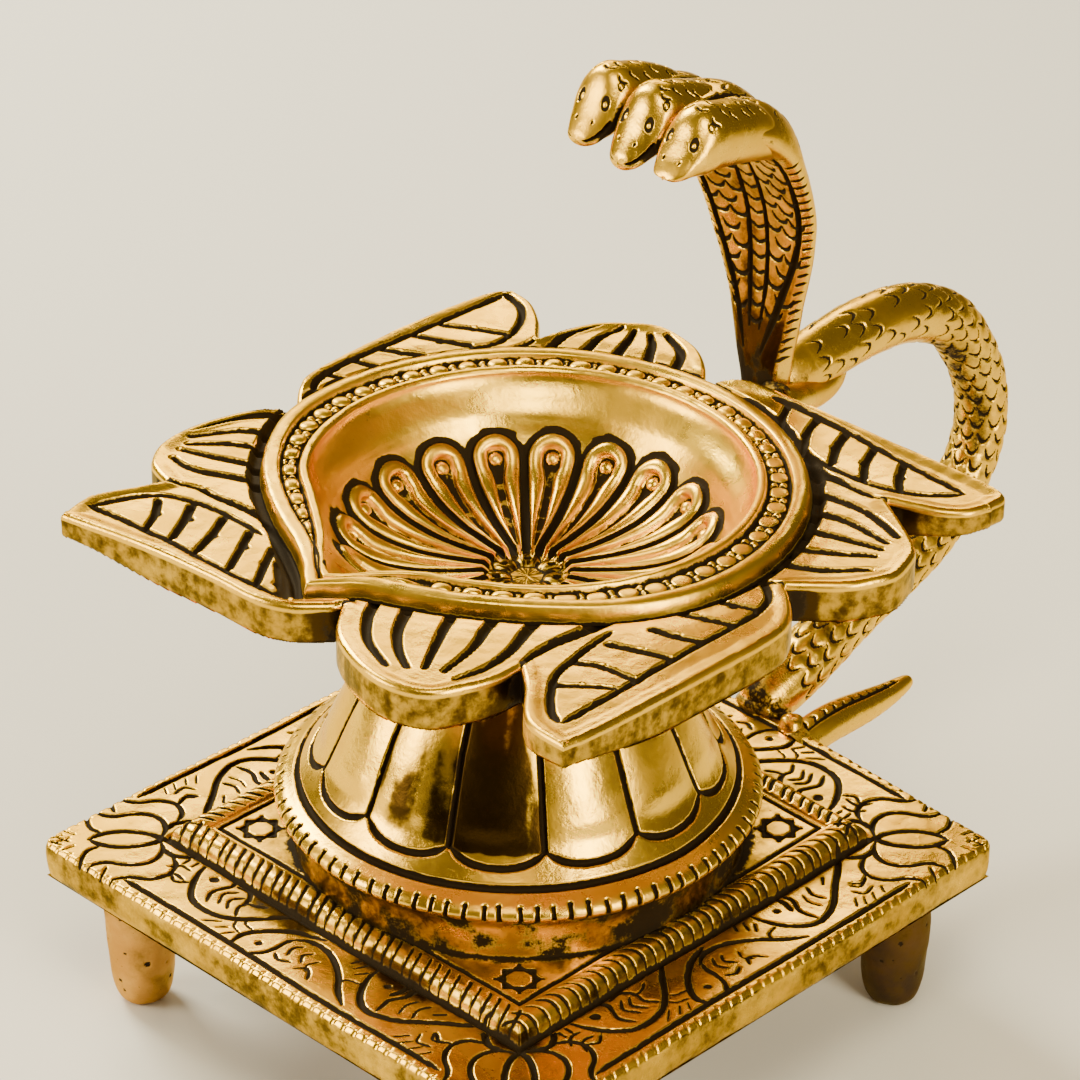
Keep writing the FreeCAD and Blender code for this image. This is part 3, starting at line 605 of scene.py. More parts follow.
def make_pedestal():
    outline = smooth([(36.9, 32.6), (36.5, 34.0), (36.4, 36.4), (36.7, 38.6), (37.6, 40.4), (38.9, 41.4),
                      (39.55, 42.3), (39.3, 43.2), (38.4, 44.0), (37.2, 44.6), (35.9, 45.4), (34.6, 46.7),
                      (32.9, 48.8), (31.4, 51.2), (29.8, 54.6), (28.0, 58.6), (25.9, 62.7), (23.2, 66.8),
                      (20.0, 70.8), (17.4, 74.2), (15.6, 76.0)], step=0.24)
    v = arc_lengths(outline)
    angles = np.arange(0, 360, 0.28)
    worth = outline[:, 0] * math.pi / 180
    relief = Relief(angles, v, worth, wrap=True)

    def at_height(z):
        return float(np.interp(z, outline[:, 1], v))

    def field(*rest):
        return lattice(len(angles), len(v), *rest, wrap=True)

    # groove above the ring, and the ring's notches: tapered slots with round ends
    groove = at_height(45.5)
    ring = [(a, groove + 0.12 * math.sin(a / 23.0)) for a in range(0, 361, 8)]
    relief.stroke(ring, 1.35, 0.95, taper=0)
    low, high = at_height(41.3), at_height(44.0)
    for k in range(NOTCHES):
        a = k * 360 / NOTCHES + RNG.normal(0, 0.3)
        lean = RNG.normal(0, 0.35)
        start, end = low + RNG.normal(0, 0.12), high + RNG.normal(0, 0.12)
        relief.stroke([(a + lean, start), (a, end)], 0.95, 0.7, taper=0, end=0.7)
        relief.blob(a + lean, start, 0.68, -0.7, ink=1.0)
        relief.blob(a, end, 0.5, -0.55, ink=1.0)
    # scalloped petals with hollow faces
    cusp, belly, top = at_height(50.0), at_height(47.9), v[-1]
    step = 360 / SCALLOPS
    for k in range(SCALLOPS):
        a = FIRST_CUSP + k * step + RNG.normal(0, 0.4)
        relief.stroke([(a, cusp - 0.3), (a, (cusp + top) / 2), (a, top)], 1.15, 0.85, taper=0.02)
        arc = [(a + step * t, cusp - (cusp - belly) * (1 - abs(2 * t - 1) ** 2.6))
               for t in np.linspace(0, 1, 13)]
        relief.stroke(arc, 1.25, 0.85, taper=0.12)
    aa, vv = np.meshgrid(angles, v, indexing="ij")
    phase = ((aa - FIRST_CUSP) % step) / step
    facet = (1 - (2 * phase - 1) ** 2) * 0.55 * ramp(vv, cusp, cusp + 4) * (1 - ramp(vv, top - 9, top))
    height = relief.height() + facet + field(40, 10, 21) * 0.07
    # soot and painted shadow on the foot under the ring's overhang, rubbed bright at the front
    foot = at_height(41.0)
    smear = field(60, 14, 24)
    rubbed = np.exp(-(((aa - 315 + 180) % 360 - 180) / 16.0) ** 2)
    below = 1.0 - ramp(vv, foot * 0.80, foot * 1.05)
    collar = ramp(vv, foot * 0.72, foot * 0.85) - ramp(vv, foot * 0.98, foot * 1.08)
    ink = np.maximum(relief.ink, (0.42 + 0.55 * smear) * below)
    ink = np.maximum(ink, (0.56 + 0.3 * smear) * below * (1 - rubbed))
    ink = np.maximum(ink, 0.9 * (1.0 - ramp(vv, 0.6, 1.9)))
    ink = np.maximum(ink, (0.62 + 0.4 * smear) * collar)
    # heat stain over two petals, deepest on the second
    cloudy = 0.5 + 0.5 * field(30, 12, 22)
    streaky = 0.5 + 0.5 * field(110, 6, 23)
    turn_from = (aa - (FIRST_CUSP % 360 + step) + 180) % 360 - 180
    burn = ramp(turn_from, -2, 2) * (1 - ramp(turn_from, step * 2 - 1, step * 2 + 1))
    burn = burn * ramp(vv, cusp - 1.5, cusp + 0.5)
    deepest = ramp(turn_from, step - 2, step + 2) * (1 - ramp(turn_from, step * 1.72, step * 1.86))
    lower = 1 - ramp(vv, cusp + 2, top - 4)
    sweep = ramp(turn_from, step * 0.15, step * 0.95) * lower
    stain = burn * (0.12 + 0.75 * streaky * cloudy + 0.62 * sweep * (0.5 + 0.7 * streaky)
                    + 0.55 * deepest * (0.75 + 0.4 * streaky))
    stain = stain + 0.22 * streaky * cloudy * ramp(vv, cusp, cusp + 6)
    # brown below the ring: stain and painted shadow, less at the front
    stain = np.maximum(stain, 0.72 * (1 - ramp(vv, foot, foot + 1.2)) * (1 - 0.7 * rubbed))
    # painted shadow with some stain: the top of the bell, under the petal plate, darkened to brown
    stain = np.maximum(stain, 0.9 * ramp(vv, top - 16, top - 4))
    shell = Shell()
    shell.grid(revolve_grid(outline, angles, height), wrap_u=True, ink=ink, stain=stain)
    inside = smooth([(33.2, 32.6), (34.0, 38.0), (29.4, 48.8), (24.6, 58.0), (20.8, 64.5), (12.5, 69.8),
                     (6.0, 71.0), (2.6, 71.0), (2.6, 75.9), (9.0, 76.0), (15.6, 76.0)], step=1.2)
    shell.grid(revolve_grid(inside, np.arange(0, 360, 3.0)), wrap_u=True, flip=True, ink=0.6)
    shell.make("pedestal_bell", ["pedestal"], ANTIQUE)


FOOT_PLACE = 44.0
FEET = {"foot_front_left": (-1, -1), "foot_front_right": (1, -1),
        "foot_back_left": (-1, 1), "foot_back_right": (1, 1)}


def make_feet():
    outline = smooth([(0.02, 0.0), (2.4, 0.0), (3.9, 0.9), (4.8, 2.8), (5.3, 6.0), (5.7, 12.0), (5.9, 18.0),
                      (6.0, 22.6), (6.5, 23.9), (6.6, 24.3)], step=0.35)
    v = arc_lengths(outline)
    angles = np.arange(0, 360, 2.0)
    for index, (label, (side_x, side_y)) in enumerate(FEET.items()):
        relief = Relief(angles, v, outline[:, 0] * math.pi / 180, wrap=True)
        for _ in range(26):
            relief.blob(RNG.uniform(0, 360), RNG.uniform(3, v[-1]), RNG.uniform(0.2, 0.6), -0.15, ink=0.7)
        bumps = lattice(len(angles), len(v), 12, 9, 30 + index, wrap=True) * 0.14
        fade = ramp(v, 2.0, 5.0)[None]
        points = revolve_grid(outline, angles, (relief.height() + bumps) * fade)
        points[..., 0] += side_x * FOOT_PLACE
        points[..., 1] += side_y * FOOT_PLACE
        shell = Shell()
        aged = 0.35 * ramp(v, BASE_BOTTOM - 7, BASE_BOTTOM)[None] \
            + 0.25 * lattice(len(angles), len(v), 9, 6, 40 + index, True)
        shell.grid(points, wrap_u=True, ink=relief.ink + aged, stain=0.35 + aged)
        slot, material = ("dark_brass", DARK) if label == "foot_back_right" else ("foot_brass", FOOT)
        shell.make(label + "_peg", [label], material)


# ---------------------------------------------------------------- petal plate
PETAL_TOP = 97.0
PETAL_BOTTOM = 90.5
PETAL_PITCH = 0.24
RIM_SHIFT = 1.7        # how far the rim's middle lies behind the lamp's middle
TIPS = (0, 3, 6, 9)                         # parts of the outline that end in a leaf's tip
NOTCH_STARTS = (0, 2, 3, 5, 6, 8, 9, 11)    # parts of the outline that start in a sooty notch
DEEP_NOTCHES = (2, 5, 8, 11)
OUTLINE = [
    [(-40.3, -38.1), (-42.1, -42.8), (-44.8, -49.6), (-43.3, -56.7)],
    [(-43.3, -56.7), (-27.1, -53.8), (-14.2, -52.6), (-3.9, -52.3), (1.7, -50.3), (5.9, -46.2), (6.8, -44.3)],
    [(6.8, -44.3), (11.2, -49.7), (16.0, -52.7), (22.8, -54.9), (28.6, -55.0), (34.0, -52.6), (36.7, -47.5),
     (38.1, -42.6), (38.1, -38.0)],
    [(38.1, -38.0), (42.2, -41.4), (47.2, -46.6), (51.0, -48.6), (57.6, -49.2)],
    [(57.6, -49.2), (58.3, -41.8), (58.5, -22.0), (58.3, -5.5), (56.3, 0.4), (52.5, 4.4), (49.5, 6.6)],
    [(49.5, 6.6), (55.4, 12.3), (57.6, 15.6), (59.3, 20.5), (58.5, 24.6), (56.8, 28.3), (53.8, 30.8),
     (50.4, 33.0), (43.3, 37.2)],
    [(43.3, 37.2), (47.9, 38.9), (51.7, 40.5), (54.6, 43.1), (56.1, 47.1)],
    [(56.1, 47.1), (53.5, 52.2), (33.0, 52.5), (14.4, 52.3), (3.0, 51.9), (-2.0, 49.6), (-4.0, 46.6)],
    [(-4.0, 46.6), (-7.3, 50.4), (-12.4, 53.8), (-18.5, 55.4), (-22.8, 55.2), (-27.0, 52.4), (-30.6, 48.4),
     (-32.4, 43.6), (-33.4, 38.0)],
    [(-33.4, 38.0), (-35.2, 39.8), (-38.2, 42.8), (-43.4, 46.2), (-48.6, 47.2)],
    [(-48.6, 47.2), (-51.0, 43.6), (-52.0, 34.0), (-52.2, 21.0), (-51.2, 4.0), (-49.3, -1.2), (-46.4, -4.6),
     (-45.3, -6.0)],
    [(-45.3, -6.0), (-46.6, -8.9), (-48.7, -14.4), (-50.7, -23.0), (-49.9, -30.4), (-46.8, -35.2),
     (-43.9, -37.0), (-40.3, -38.1)],
]
LEAF_FRAMES = [
    # each leaf: its panel's outer line, its panel's inner line, then its ribs
    ([(-42.5, -51.6), (-38.0, -50.8), (-30.0, -50.2), (-20.0, -50.0), (-10.0, -49.9), (-1.0, -49.0)],
     [(-42.3, -51.0), (-41.0, -47.5), (-39.2, -44.0), (-36.4, -40.9), (-31.0, -38.9), (-25.0, -38.2),
      (-17.5, -38.4)],
     [[(-36.6, -42.6), (-33.5, -46.0), (-31.2, -50.0)], [(-31.6, -40.1), (-28.9, -44.0), (-26.0, -49.2)],
      [(-25.2, -39.2), (-22.6, -44.0), (-20.4, -49.3)], [(-19.2, -39.2), (-16.8, -43.0), (-13.0, -49.2)],
      [(-13.2, -40.0), (-10.5, -44.0), (-6.8, -49.2)], [(-9.6, -42.2), (-4.6, -46.4), (-1.0, -48.9)]]),
    ([(53.0, -44.4), (52.7, -35.0), (52.3, -25.0), (52.1, -15.0), (52.1, -5.0), (51.6, -1.0), (50.2, 2.2),
      (47.6, 4.6), (45.2, 6.0)],
     [(52.3, -44.8), (49.5, -43.3), (46.0, -39.8), (43.2, -36.0), (41.8, -31.0), (40.9, -26.0),
      (40.4, -21.4)],
     [[(44.8, -38.2), (48.0, -35.3), (51.6, -32.4)], [(42.3, -31.6), (46.2, -29.5), (52.0, -28.7)],
      [(42.4, -24.4), (47.0, -22.6), (52.0, -20.7)], [(44.0, -16.8), (48.0, -15.8), (52.0, -14.0)],
      [(43.4, -10.1), (48.0, -8.6), (52.0, -7.2)], [(44.2, -3.7), (48.0, -2.6), (51.2, -1.7)]]),
    ([(50.2, 47.6), (40.0, 48.2), (32.0, 49.0), (24.0, 49.7), (15.0, 50.0), (8.0, 50.0)],
     [(50.2, 47.2), (47.2, 43.7), (42.8, 41.0), (37.0, 39.5), (31.0, 39.2), (26.0, 40.0), (22.0, 41.3)],
     [[(37.4, 48.1), (39.8, 44.2), (42.6, 41.1)], [(30.8, 48.7), (32.9, 44.2), (36.2, 39.9)],
      [(24.4, 49.2), (26.4, 44.6), (29.2, 40.3)], [(18.0, 49.5), (19.6, 45.2), (22.2, 41.8)],
      [(11.6, 49.7), (13.0, 46.8), (14.2, 45.4)]]),
    ([(-48.6, 44.8), (-49.0, 35.0), (-49.3, 20.0), (-49.4, 8.0), (-48.5, 2.0), (-46.6, -0.8)],
     [(-48.7, 45.3), (-43.8, 43.9), (-40.5, 41.0), (-37.9, 36.2), (-37.4, 31.8), (-39.0, 27.8)],
     [[(-38.4, 35.4), (-43.2, 32.8), (-48.4, 29.8)], [(-39.6, 28.2), (-44.0, 26.0), (-48.9, 23.8)],
      [(-42.4, 20.6), (-46.0, 18.4), (-49.0, 16.5)], [(-44.6, 12.6), (-49.1, 10.8)],
      [(-45.6, 6.2), (-49.0, 4.4)]]),
]
VALLEYS = [
    # dark valley beside each leaf's inner border, from the rim out to the notch, and its width at the rim
    ([(-2.2, -47.2), (-6.3, -43.3), (-11.2, -39.9), (-17.0, -36.3), (-22.0, -34.6), (-29.4, -35.4),
      (-35.3, -35.8), (-40.2, -38.0)], 3.4),
    ([(37.0, -19.0), (37.2, -24.0), (36.6, -30.0), (36.9, -34.6), (38.1, -38.0)], 3.6),
    ([(18.0, 41.5), (22.5, 39.6), (26.2, 38.4), (30.6, 36.9), (33.4, 36.8), (38.0, 36.6), (43.0, 37.0)], 3.4),
    ([(-36.6, 20.0), (-36.0, 25.0), (-34.9, 30.0), (-33.8, 34.4), (-33.4, 38.0)], 3.2),
]
FAN_FLUTES = [
    [[(9.4, -40.2), (12.5, -44.6), (17.0, -48.6), (23.6, -51.4)],
     [(15.0, -39.2), (18.0, -43.6), (22.0, -47.2), (26.2, -49.6)],
     [(21.2, -36.4), (24.4, -41.8), (28.2, -47.9)], [(26.6, -33.7), (29.2, -39.2), (30.9, -46.6)],
     [(31.2, -29.8), (33.8, -36.2), (34.5, -42.0), (33.7, -46.9)]],
    [[(44.6, 11.8), (50.0, 13.8), (55.4, 19.4)], [(43.0, 17.0), (47.4, 18.8), (53.2, 23.0)],
     [(40.4, 22.2), (45.4, 23.4), (52.4, 25.3)], [(37.6, 27.1), (44.0, 28.1), (51.7, 27.4)],
     [(34.0, 32.0), (38.0, 32.3), (44.0, 32.3), (48.0, 31.2), (52.0, 29.7)]],
    [[(-10.6, 46.6), (-13.2, 50.8), (-19.0, 53.6)], [(-15.8, 45.6), (-18.4, 49.4), (-21.4, 52.2)],
     [(-20.8, 43.6), (-22.4, 47.8), (-24.2, 51.2)], [(-25.4, 41.0), (-26.6, 46.0), (-26.4, 50.4)],
     [(-30.4, 38.0), (-30.9, 43.0), (-29.6, 48.6)]],
    [[(-44.6, -10.0), (-48.0, -17.0), (-49.9, -24.0)], [(-41.4, -15.6), (-45.0, -19.4), (-48.4, -25.6)],
     [(-38.4, -19.6), (-42.6, -23.0), (-46.9, -27.4)], [(-34.6, -24.0), (-40.0, -27.0), (-46.4, -29.5)],
     [(-31.2, -27.8), (-36.6, -31.0), (-41.0, -32.4), (-45.2, -32.1)]],
]
RIM = [
    # angle from the spout (left side negative), outer radius, inner radius
    (0, 47.4, 42.0), (3, 44.6, 39.8), (8, 41.6, 36.0), (16, 40.2, 33.0), (26, 39.7, 32.4), (38, 39.6, 32.5),
    (50, 40.3, 33.0), (62, 41.8, 33.4), (75, 43.2, 33.8), (90, 44.0, 34.4), (120, 44.2, 35.4),
    (150, 44.0, 36.0), (180, 43.9, 36.2), (210, 44.2, 36.2), (240, 44.4, 36.0), (270, 44.6, 35.8),
    (285, 44.4, 35.4), (298, 43.1, 35.0), (310, 41.9, 34.3), (322, 40.8, 33.2), (334, 40.4, 33.6),
    (344, 41.0, 35.4), (352, 43.0, 38.5), (357, 45.6, 40.9), (360, 47.4, 42.0),
]


def rim_radii(degrees):
    """Outer and inner radius of the cup's rim at angles from the spout."""
    table = np.array(RIM, float)
    curve = smooth(table, step=1.5)
    turn = np.mod(degrees, 360)
    return np.interp(turn, curve[:, 0], curve[:, 1]), np.interp(turn, curve[:, 0], curve[:, 2])


def inside_polygon(x, y, loop):
    """Even-odd test of many points against a closed loop."""
    hit = np.zeros(x.shape, bool)
    for (x0, y0), (x1, y1) in zip(loop, np.roll(loop, -1, axis=0)):
        crosses = (y0 > y) != (y1 > y)
        if not crosses.any():
            continue
        hit ^= crosses & (x < (x1 - x0) * (y - y0) / (y1 - y0 + 1e-12) + x0)
    return hit


def depth_inside(relief, x, y, loop):
    """Distance of each point from a closed loop, exact under 4 mm, positive inside and negative outside."""
    gap = np.full(x.shape, 9.0)
    for a, b in zip(loop, np.roll(loop, -1, axis=0)):
        i, j, _ = relief.window(min(a[0], b[0]) - 4, max(a[0], b[0]) + 4,
                                min(a[1], b[1]) - 4, max(a[1], b[1]) + 4)
        spot = np.ix_(i, j)
        d = b - a
        t = np.clip(((x[spot] - a[0]) * d[0] + (y[spot] - a[1]) * d[1]) / (d @ d + 1e-12), 0, 1)
        gap[spot] = np.minimum(gap[spot], np.hypot(x[spot] - a[0] - t * d[0], y[spot] - a[1] - t * d[1]))
    return np.where(inside_polygon(x, y, loop), gap, -gap)


def nearest(x, y, spots):
    """Distance from each point to the nearest of a few spots."""
    return np.min([np.hypot(x - spot[0], y - spot[1]) for spot in spots], axis=0)


def engrave_petals(relief):
    """Frames and ribs of the leaves, flutes of the fans, and the dark valleys and notches between them."""
    for outer_line, inner_line, ribs in LEAF_FRAMES:
        relief.stroke(outer_line, 1.35, 0.95, taper=0.04)
        relief.stroke(inner_line, 1.35, 0.95, taper=0.05)
        for rib in ribs:
            middle = rib[len(rib) // 2]
            width = RNG.uniform(1.35, 1.8)
            relief.stroke(rib, width, 0.95, taper=0.06, end=width * 0.85)
            relief.blob(*(np.array(middle) + RNG.normal(0, 0.3, 2)), width * 0.55, -0.9, ink=1.0)
    for flutes in FAN_FLUTES:
        for flute in flutes:
            root, following = np.array(flute[0]), np.array(flute[1])
            away = (root - following) / np.linalg.norm(root - following)
            relief.stroke([root + away * 2.2, *flute], RNG.uniform(2.0, 2.4), 1.05, taper=0.0, end=1.15)
    for valley, width in VALLEYS:
        relief.stroke(valley, width, 1.3, taper=0, end=0.9)
    for part in DEEP_NOTCHES:
        notch = OUTLINE[part][0]
        relief.stroke([np.array(notch) * 0.88, notch], 1.5, 1.0, taper=0, end=0.8)


def make_petals():
    xs = np.arange(-53.5, 60.6, PETAL_PITCH)
    ys = np.arange(-58.0, 56.8, PETAL_PITCH)
    relief = Relief(xs, ys)
    engrave_petals(relief)
    x, y = np.meshgrid(xs, ys, indexing="ij")
    loop = np.vstack([smooth(part, step=0.5)[:-1] for part in OUTLINE])
    inset = depth_inside(relief, x, y, loop)
    outer, _ = rim_radii(np.degrees(np.arctan2(x, -(y - RIM_SHIFT))))
    out_from_rim = np.hypot(x, y - RIM_SHIFT) - outer

    def field(cells, seed):
        return lattice(len(xs), len(ys), cells, cells, seed)

    # top: a black channel round the rim, and a cushioned border along the outline
    channel = 1 - ramp(out_from_rim, 1.4, 2.5)
    cushion = 0.40 * (1 - ramp(inset, 0.8, 3.2)) * ramp(out_from_rim, 2.6, 4.4)
    plain = PETAL_TOP - 1.5 * channel - 0.25 * (1 - ramp(out_from_rim, 2.4, 6.0)) + cushion
    z = plain + relief.height()
    z += 0.09 * field(16, 51) + 0.03 * field(60, 52)
    ink = np.maximum(relief.ink, 1.25 * (1 - ramp(out_from_rim + 0.35 * field(70, 59), 1.9, 2.7)))
    worn = 0.5 + 0.5 * field(18, 53)
    ink += 0.10 * worn * (1 - ramp(inset, 1.5, 4.0))
    stain = 0.45 * worn * (1 - ramp(out_from_rim, 2.0, 7.0))
    # the sheet stops short of the outline and runs a little way under the rim
    shell = Shell()
    shell.cells(np.stack([x, y, z], -1), (inset > 0.62) & (out_from_rim > -2.4), ink, stain)

    # border: rounded edge rows (how far inside the outline, how far under the sheet), then the wall
    rows = [(1.45, 0.10), (1.1, -0.03), (0.8, -0.01), (0.5, 0.07), (0.25, 0.25), (0.08, 0.48), (0.0, 0.80)]
    levels = np.array([0.10, 0.35, 0.8, 0.92, 1.0])
    slack = np.array([0.0, 0.0, 0.0, -0.15, -0.7])
    loop = np.vstack([smooth(part, step=0.22)[:-1] for part in OUTLINE])
    around, tall = len(loop), len(rows) + len(levels)
    tangent = np.roll(loop, -1, 0) - np.roll(loop, 1, 0)
    tangent /= np.linalg.norm(tangent, axis=1, keepdims=True)
    outward = np.stack([tangent[:, 1], -tangent[:, 0]], 1)
    tips = [OUTLINE[part][-1] for part in TIPS]
    thin = 2.6 * (1 - ramp(nearest(*loop.T, tips), 0.0, 22.0))
    closeness = nearest(*loop.T, [OUTLINE[part][0] for part in NOTCH_STARTS])
    ij = np.clip(np.round((loop - outward * rows[0][0] - [xs[0], ys[0]]) / PETAL_PITCH).astype(int), 0,
                 [len(xs) - 1, len(ys) - 1])
    level_here = plain[ij[:, 0], ij[:, 1]]
    blur = np.ones(25) / 25
    level_here = np.convolve(np.concatenate([level_here[-12:], level_here, level_here[:12]]), blur, "valid")
    border = np.zeros((around, tall, 3))
    waver = 0.05 * lattice(around, len(rows), 120, 2, 57, wrap=True)
    for k, (inward, sunk) in enumerate(rows):
        border[:, k, :2] = loop - outward * inward
        border[:, k, 2] = level_here - sunk + waver[:, k] * (k > 0)
    ripple = 0.07 * lattice(around, len(levels) + 1, 170, 2, 54, wrap=True)
    brink = border[:, len(rows) - 1, 2]
    for k, level in enumerate(levels):
        push = slack[k] + ripple[:, k + 1] * (k < 4)
        border[:, len(rows) + k, :2] = loop + outward * push[:, None]
        border[:, len(rows) + k, 2] = brink + (PETAL_BOTTOM + thin - brink) * level
    fresh = np.concatenate([np.zeros(len(rows)), np.ones(len(levels))])[None]
    pits = 0.66 + 0.22 * lattice(around, tall, 300, 5, 55, True)
    sooty = (1 - ramp(closeness, 1.0, 6.5))[:, None] * pits * (0.35 + 0.65 * fresh)
    edge_ink = ink[ij[:, 0], ij[:, 1]][:, None] * (1 - fresh) * (closeness < 2.2)[:, None]
    shell.grid(border, wrap_u=True, flip=True, ink=np.maximum(sooty + 0.05, edge_ink),
               stain=sooty * 1.0 + fresh * (0.54 + 0.13 * clouds(around, tall, 420, 2, 58, True)) + 0.05)

    # underside, rising towards the leaves' thin tips
    flat = PETAL_BOTTOM + 2.6 * (1 - ramp(nearest(x, y, tips), 0.0, 22.0)) + 0.08 * field(14, 56)
    keep = (inset > 0.3) & (np.hypot(x, y - RIM_SHIFT) > 35.8)
    shell.cells(np.stack([x, y, flat], -1), keep, ink=0.3, stain=0.5, flip=True)
    shell.make("petal_plate_lotus", ["petal_plate"], ANTIQUE)


# ---------------------------------------------------------------- oil cup
BOWL_FLOOR = 80.2
BOWL = [
    # radius and height of the round bottom of the bowl, from its middle to the foot of its wall
    (0.0, 0.0), (6.0, 0.05), (12.0, 0.35), (17.0, 0.9), (22.0, 2.2), (25.8, 4.0), (28.6, 6.3), (30.5, 8.8),
    (31.8, 11.4),
]
LIP_LEVEL = 97.35
ROSETTE = 19
ROSETTE_PHASE = 0.076      # share of a petal that the rosette is turned by
PETAL_GAP = 0.62
PETAL_HALF = 4.0
PETAL_CAP = 28.3           # radius at which a petal's round end is centred
CENTRE_BOSSES = 7
LIP = 1.75                 # width of the rim's inner lip
OUTER_BAND = 3.0
BEAD_PITCH = 4.7


def rosette(turn, bowl, v):
    """Height, ink and stain of the embossed petals over the bottom of the bowl."""
    r = bowl[:, 0][None]
    step = 360 / ROSETTE
    local = ((turn + ROSETTE_PHASE * step) % step - step / 2)[:, None]
    side = np.abs(np.radians(local) * r)
    half = np.clip(np.radians(step / 2) * r - PETAL_GAP, 0.0, PETAL_HALF)
    # distance into a petal: beside its axis, then round the middle of its end
    along = v[None]
    cap = float(np.interp(PETAL_CAP, bowl[:, 0], v))
    past = np.clip(along - cap, 0, None)
    reach = np.where(along < cap, side, np.hypot(side, past))
    width = np.where(along < cap, half, PETAL_HALF)
    depth_in = width - reach
    start = ramp(r, 5.2, 7.4)
    # each petal is a raised loop round a hollow, with a ball near its end
    hollow = np.minimum(0.62 + 1.15 * np.exp(-((along - cap + 0.4) / 2.3) ** 2), 0.36 * width)
    across_loop = np.clip((reach - hollow) / np.maximum(width - hollow, 0.3), 0, 1)
    loop_shape = np.clip(1 - (2 * across_loop - 1) ** 2, 0, 1) ** 0.42 * (depth_in > 0)
    ball = dome(np.hypot(side, along - (cap - 0.4)) / 1.15)
    height = (1.35 * loop_shape + 0.1) * start + 0.75 * ball
    # black between the petals, in a ragged halo past them and in their hollows
    uneven = clouds(len(turn), len(v), 90, 30, 65, True)
    halo = 1 - ramp(-depth_in, 0.65, 1.0 + 1.4 * uneven)
    ink = (1 - ramp(depth_in, 0.0, 0.35)) * halo * start * 1.15
    groove = np.maximum(hollow, 1e-6)
    groove_ink = (1 - ramp(reach, groove * 0.80, groove * 1.25)) * ramp(r, 8.0, 10.0) * (0.62 + 0.55 * uneven)
    ink = np.maximum(ink, groove_ink * (1 - 0.55 * (ball > 0.25)))
    stain = 0.34 * (1 - ramp(r, 12, 30)) + 0.30 * (ball > 0.2) * uneven \
        + 0.75 * (1 - ramp(-depth_in, 0.9, 3.0)) * (depth_in < 0) * uneven
    # bosses round the middle
    bosses = Relief(turn, v, np.maximum(bowl[:, 0], 0.05) * math.pi / 180, wrap=True)
    for k in range(CENTRE_BOSSES):
        place = k * 360 / CENTRE_BOSSES + 18
        bosses.blob(place, float(np.interp(4.7, bowl[:, 0], v)), 1.9, 0.60, ring=1.0)
        bosses.blob(place, float(np.interp(4.9, bowl[:, 0], v)), 0.75, -0.75, ink=1.0)
    blank = np.where(bosses.rise > 0, 0.0, 1.0)
    return height + bosses.height(), np.maximum(ink * np.maximum(blank, start), bosses.ink), stain


def beads(turn, inner, outer, rr):
    """Rise and ink of the beads along the rim's channel; they are only stamped rings on its right side."""
    theta = np.radians(turn)
    x_mid = (inner + LIP + outer - OUTER_BAND) / 2
    ring_x, ring_y = x_mid * np.sin(theta), -x_mid * np.cos(theta)
    ring_len = np.concatenate([[0], np.cumsum(np.hypot(np.diff(ring_x), np.diff(ring_y)))])
    gx, gy = rr * np.sin(theta)[:, None], -rr * np.cos(theta)[:, None]
    # beside the spout the beads give way to a plain ridge
    away = np.minimum(turn, 360 - turn)
    ridge = (1 - ramp(away, 13.0, 18.0))[:, None]
    ridge_shape = np.clip(1 - (np.abs(rr - x_mid[:, None]) / 1.1) ** 2, 0, 1)
    rise = 0.75 * ridge * ridge_shape * ramp(away, 2.5, 6.0)[:, None]
    ink = np.zeros_like(rr)
    place = 0.0
    while place < ring_len[-1] - 1.0:
        at = float(np.interp(place, ring_len, turn))
        place += BEAD_PITCH + RNG.normal(0, 0.15)
        if min(at, 360 - at) < 16:
            continue
        a = math.radians(at)
        radius = float(np.interp(at, turn, x_mid)) + RNG.normal(0, 0.08)
        size = 1.62 + RNG.normal(0, 0.08)
        near = np.abs((turn - at + 180) % 360 - 180) < 7
        q = np.hypot(gx[near] - radius * math.sin(a), gy[near] + radius * math.cos(a)) / size
        tall, roundness = (0.42, 0.45) if 50 < at < 150 else (0.85, 0.8)
        rise[near] = np.maximum(rise[near], tall * dome(q) ** roundness)
        ink[near] = np.maximum(ink[near], np.clip(1.4 - np.abs(q - 1.10) / 0.20, 0, 1))
        # two grains between this bead and the next
        between = math.radians(at + math.degrees(BEAD_PITCH / 2 / radius))
        for shift in (-0.75, 0.75):
            sx, sy = (radius + shift) * math.sin(between), -(radius + shift) * math.cos(between)
            rise[near] = np.maximum(rise[near], 0.5 * dome(np.hypot(gx[near] - sx, gy[near] - sy) / 0.62))
    return rise, ink


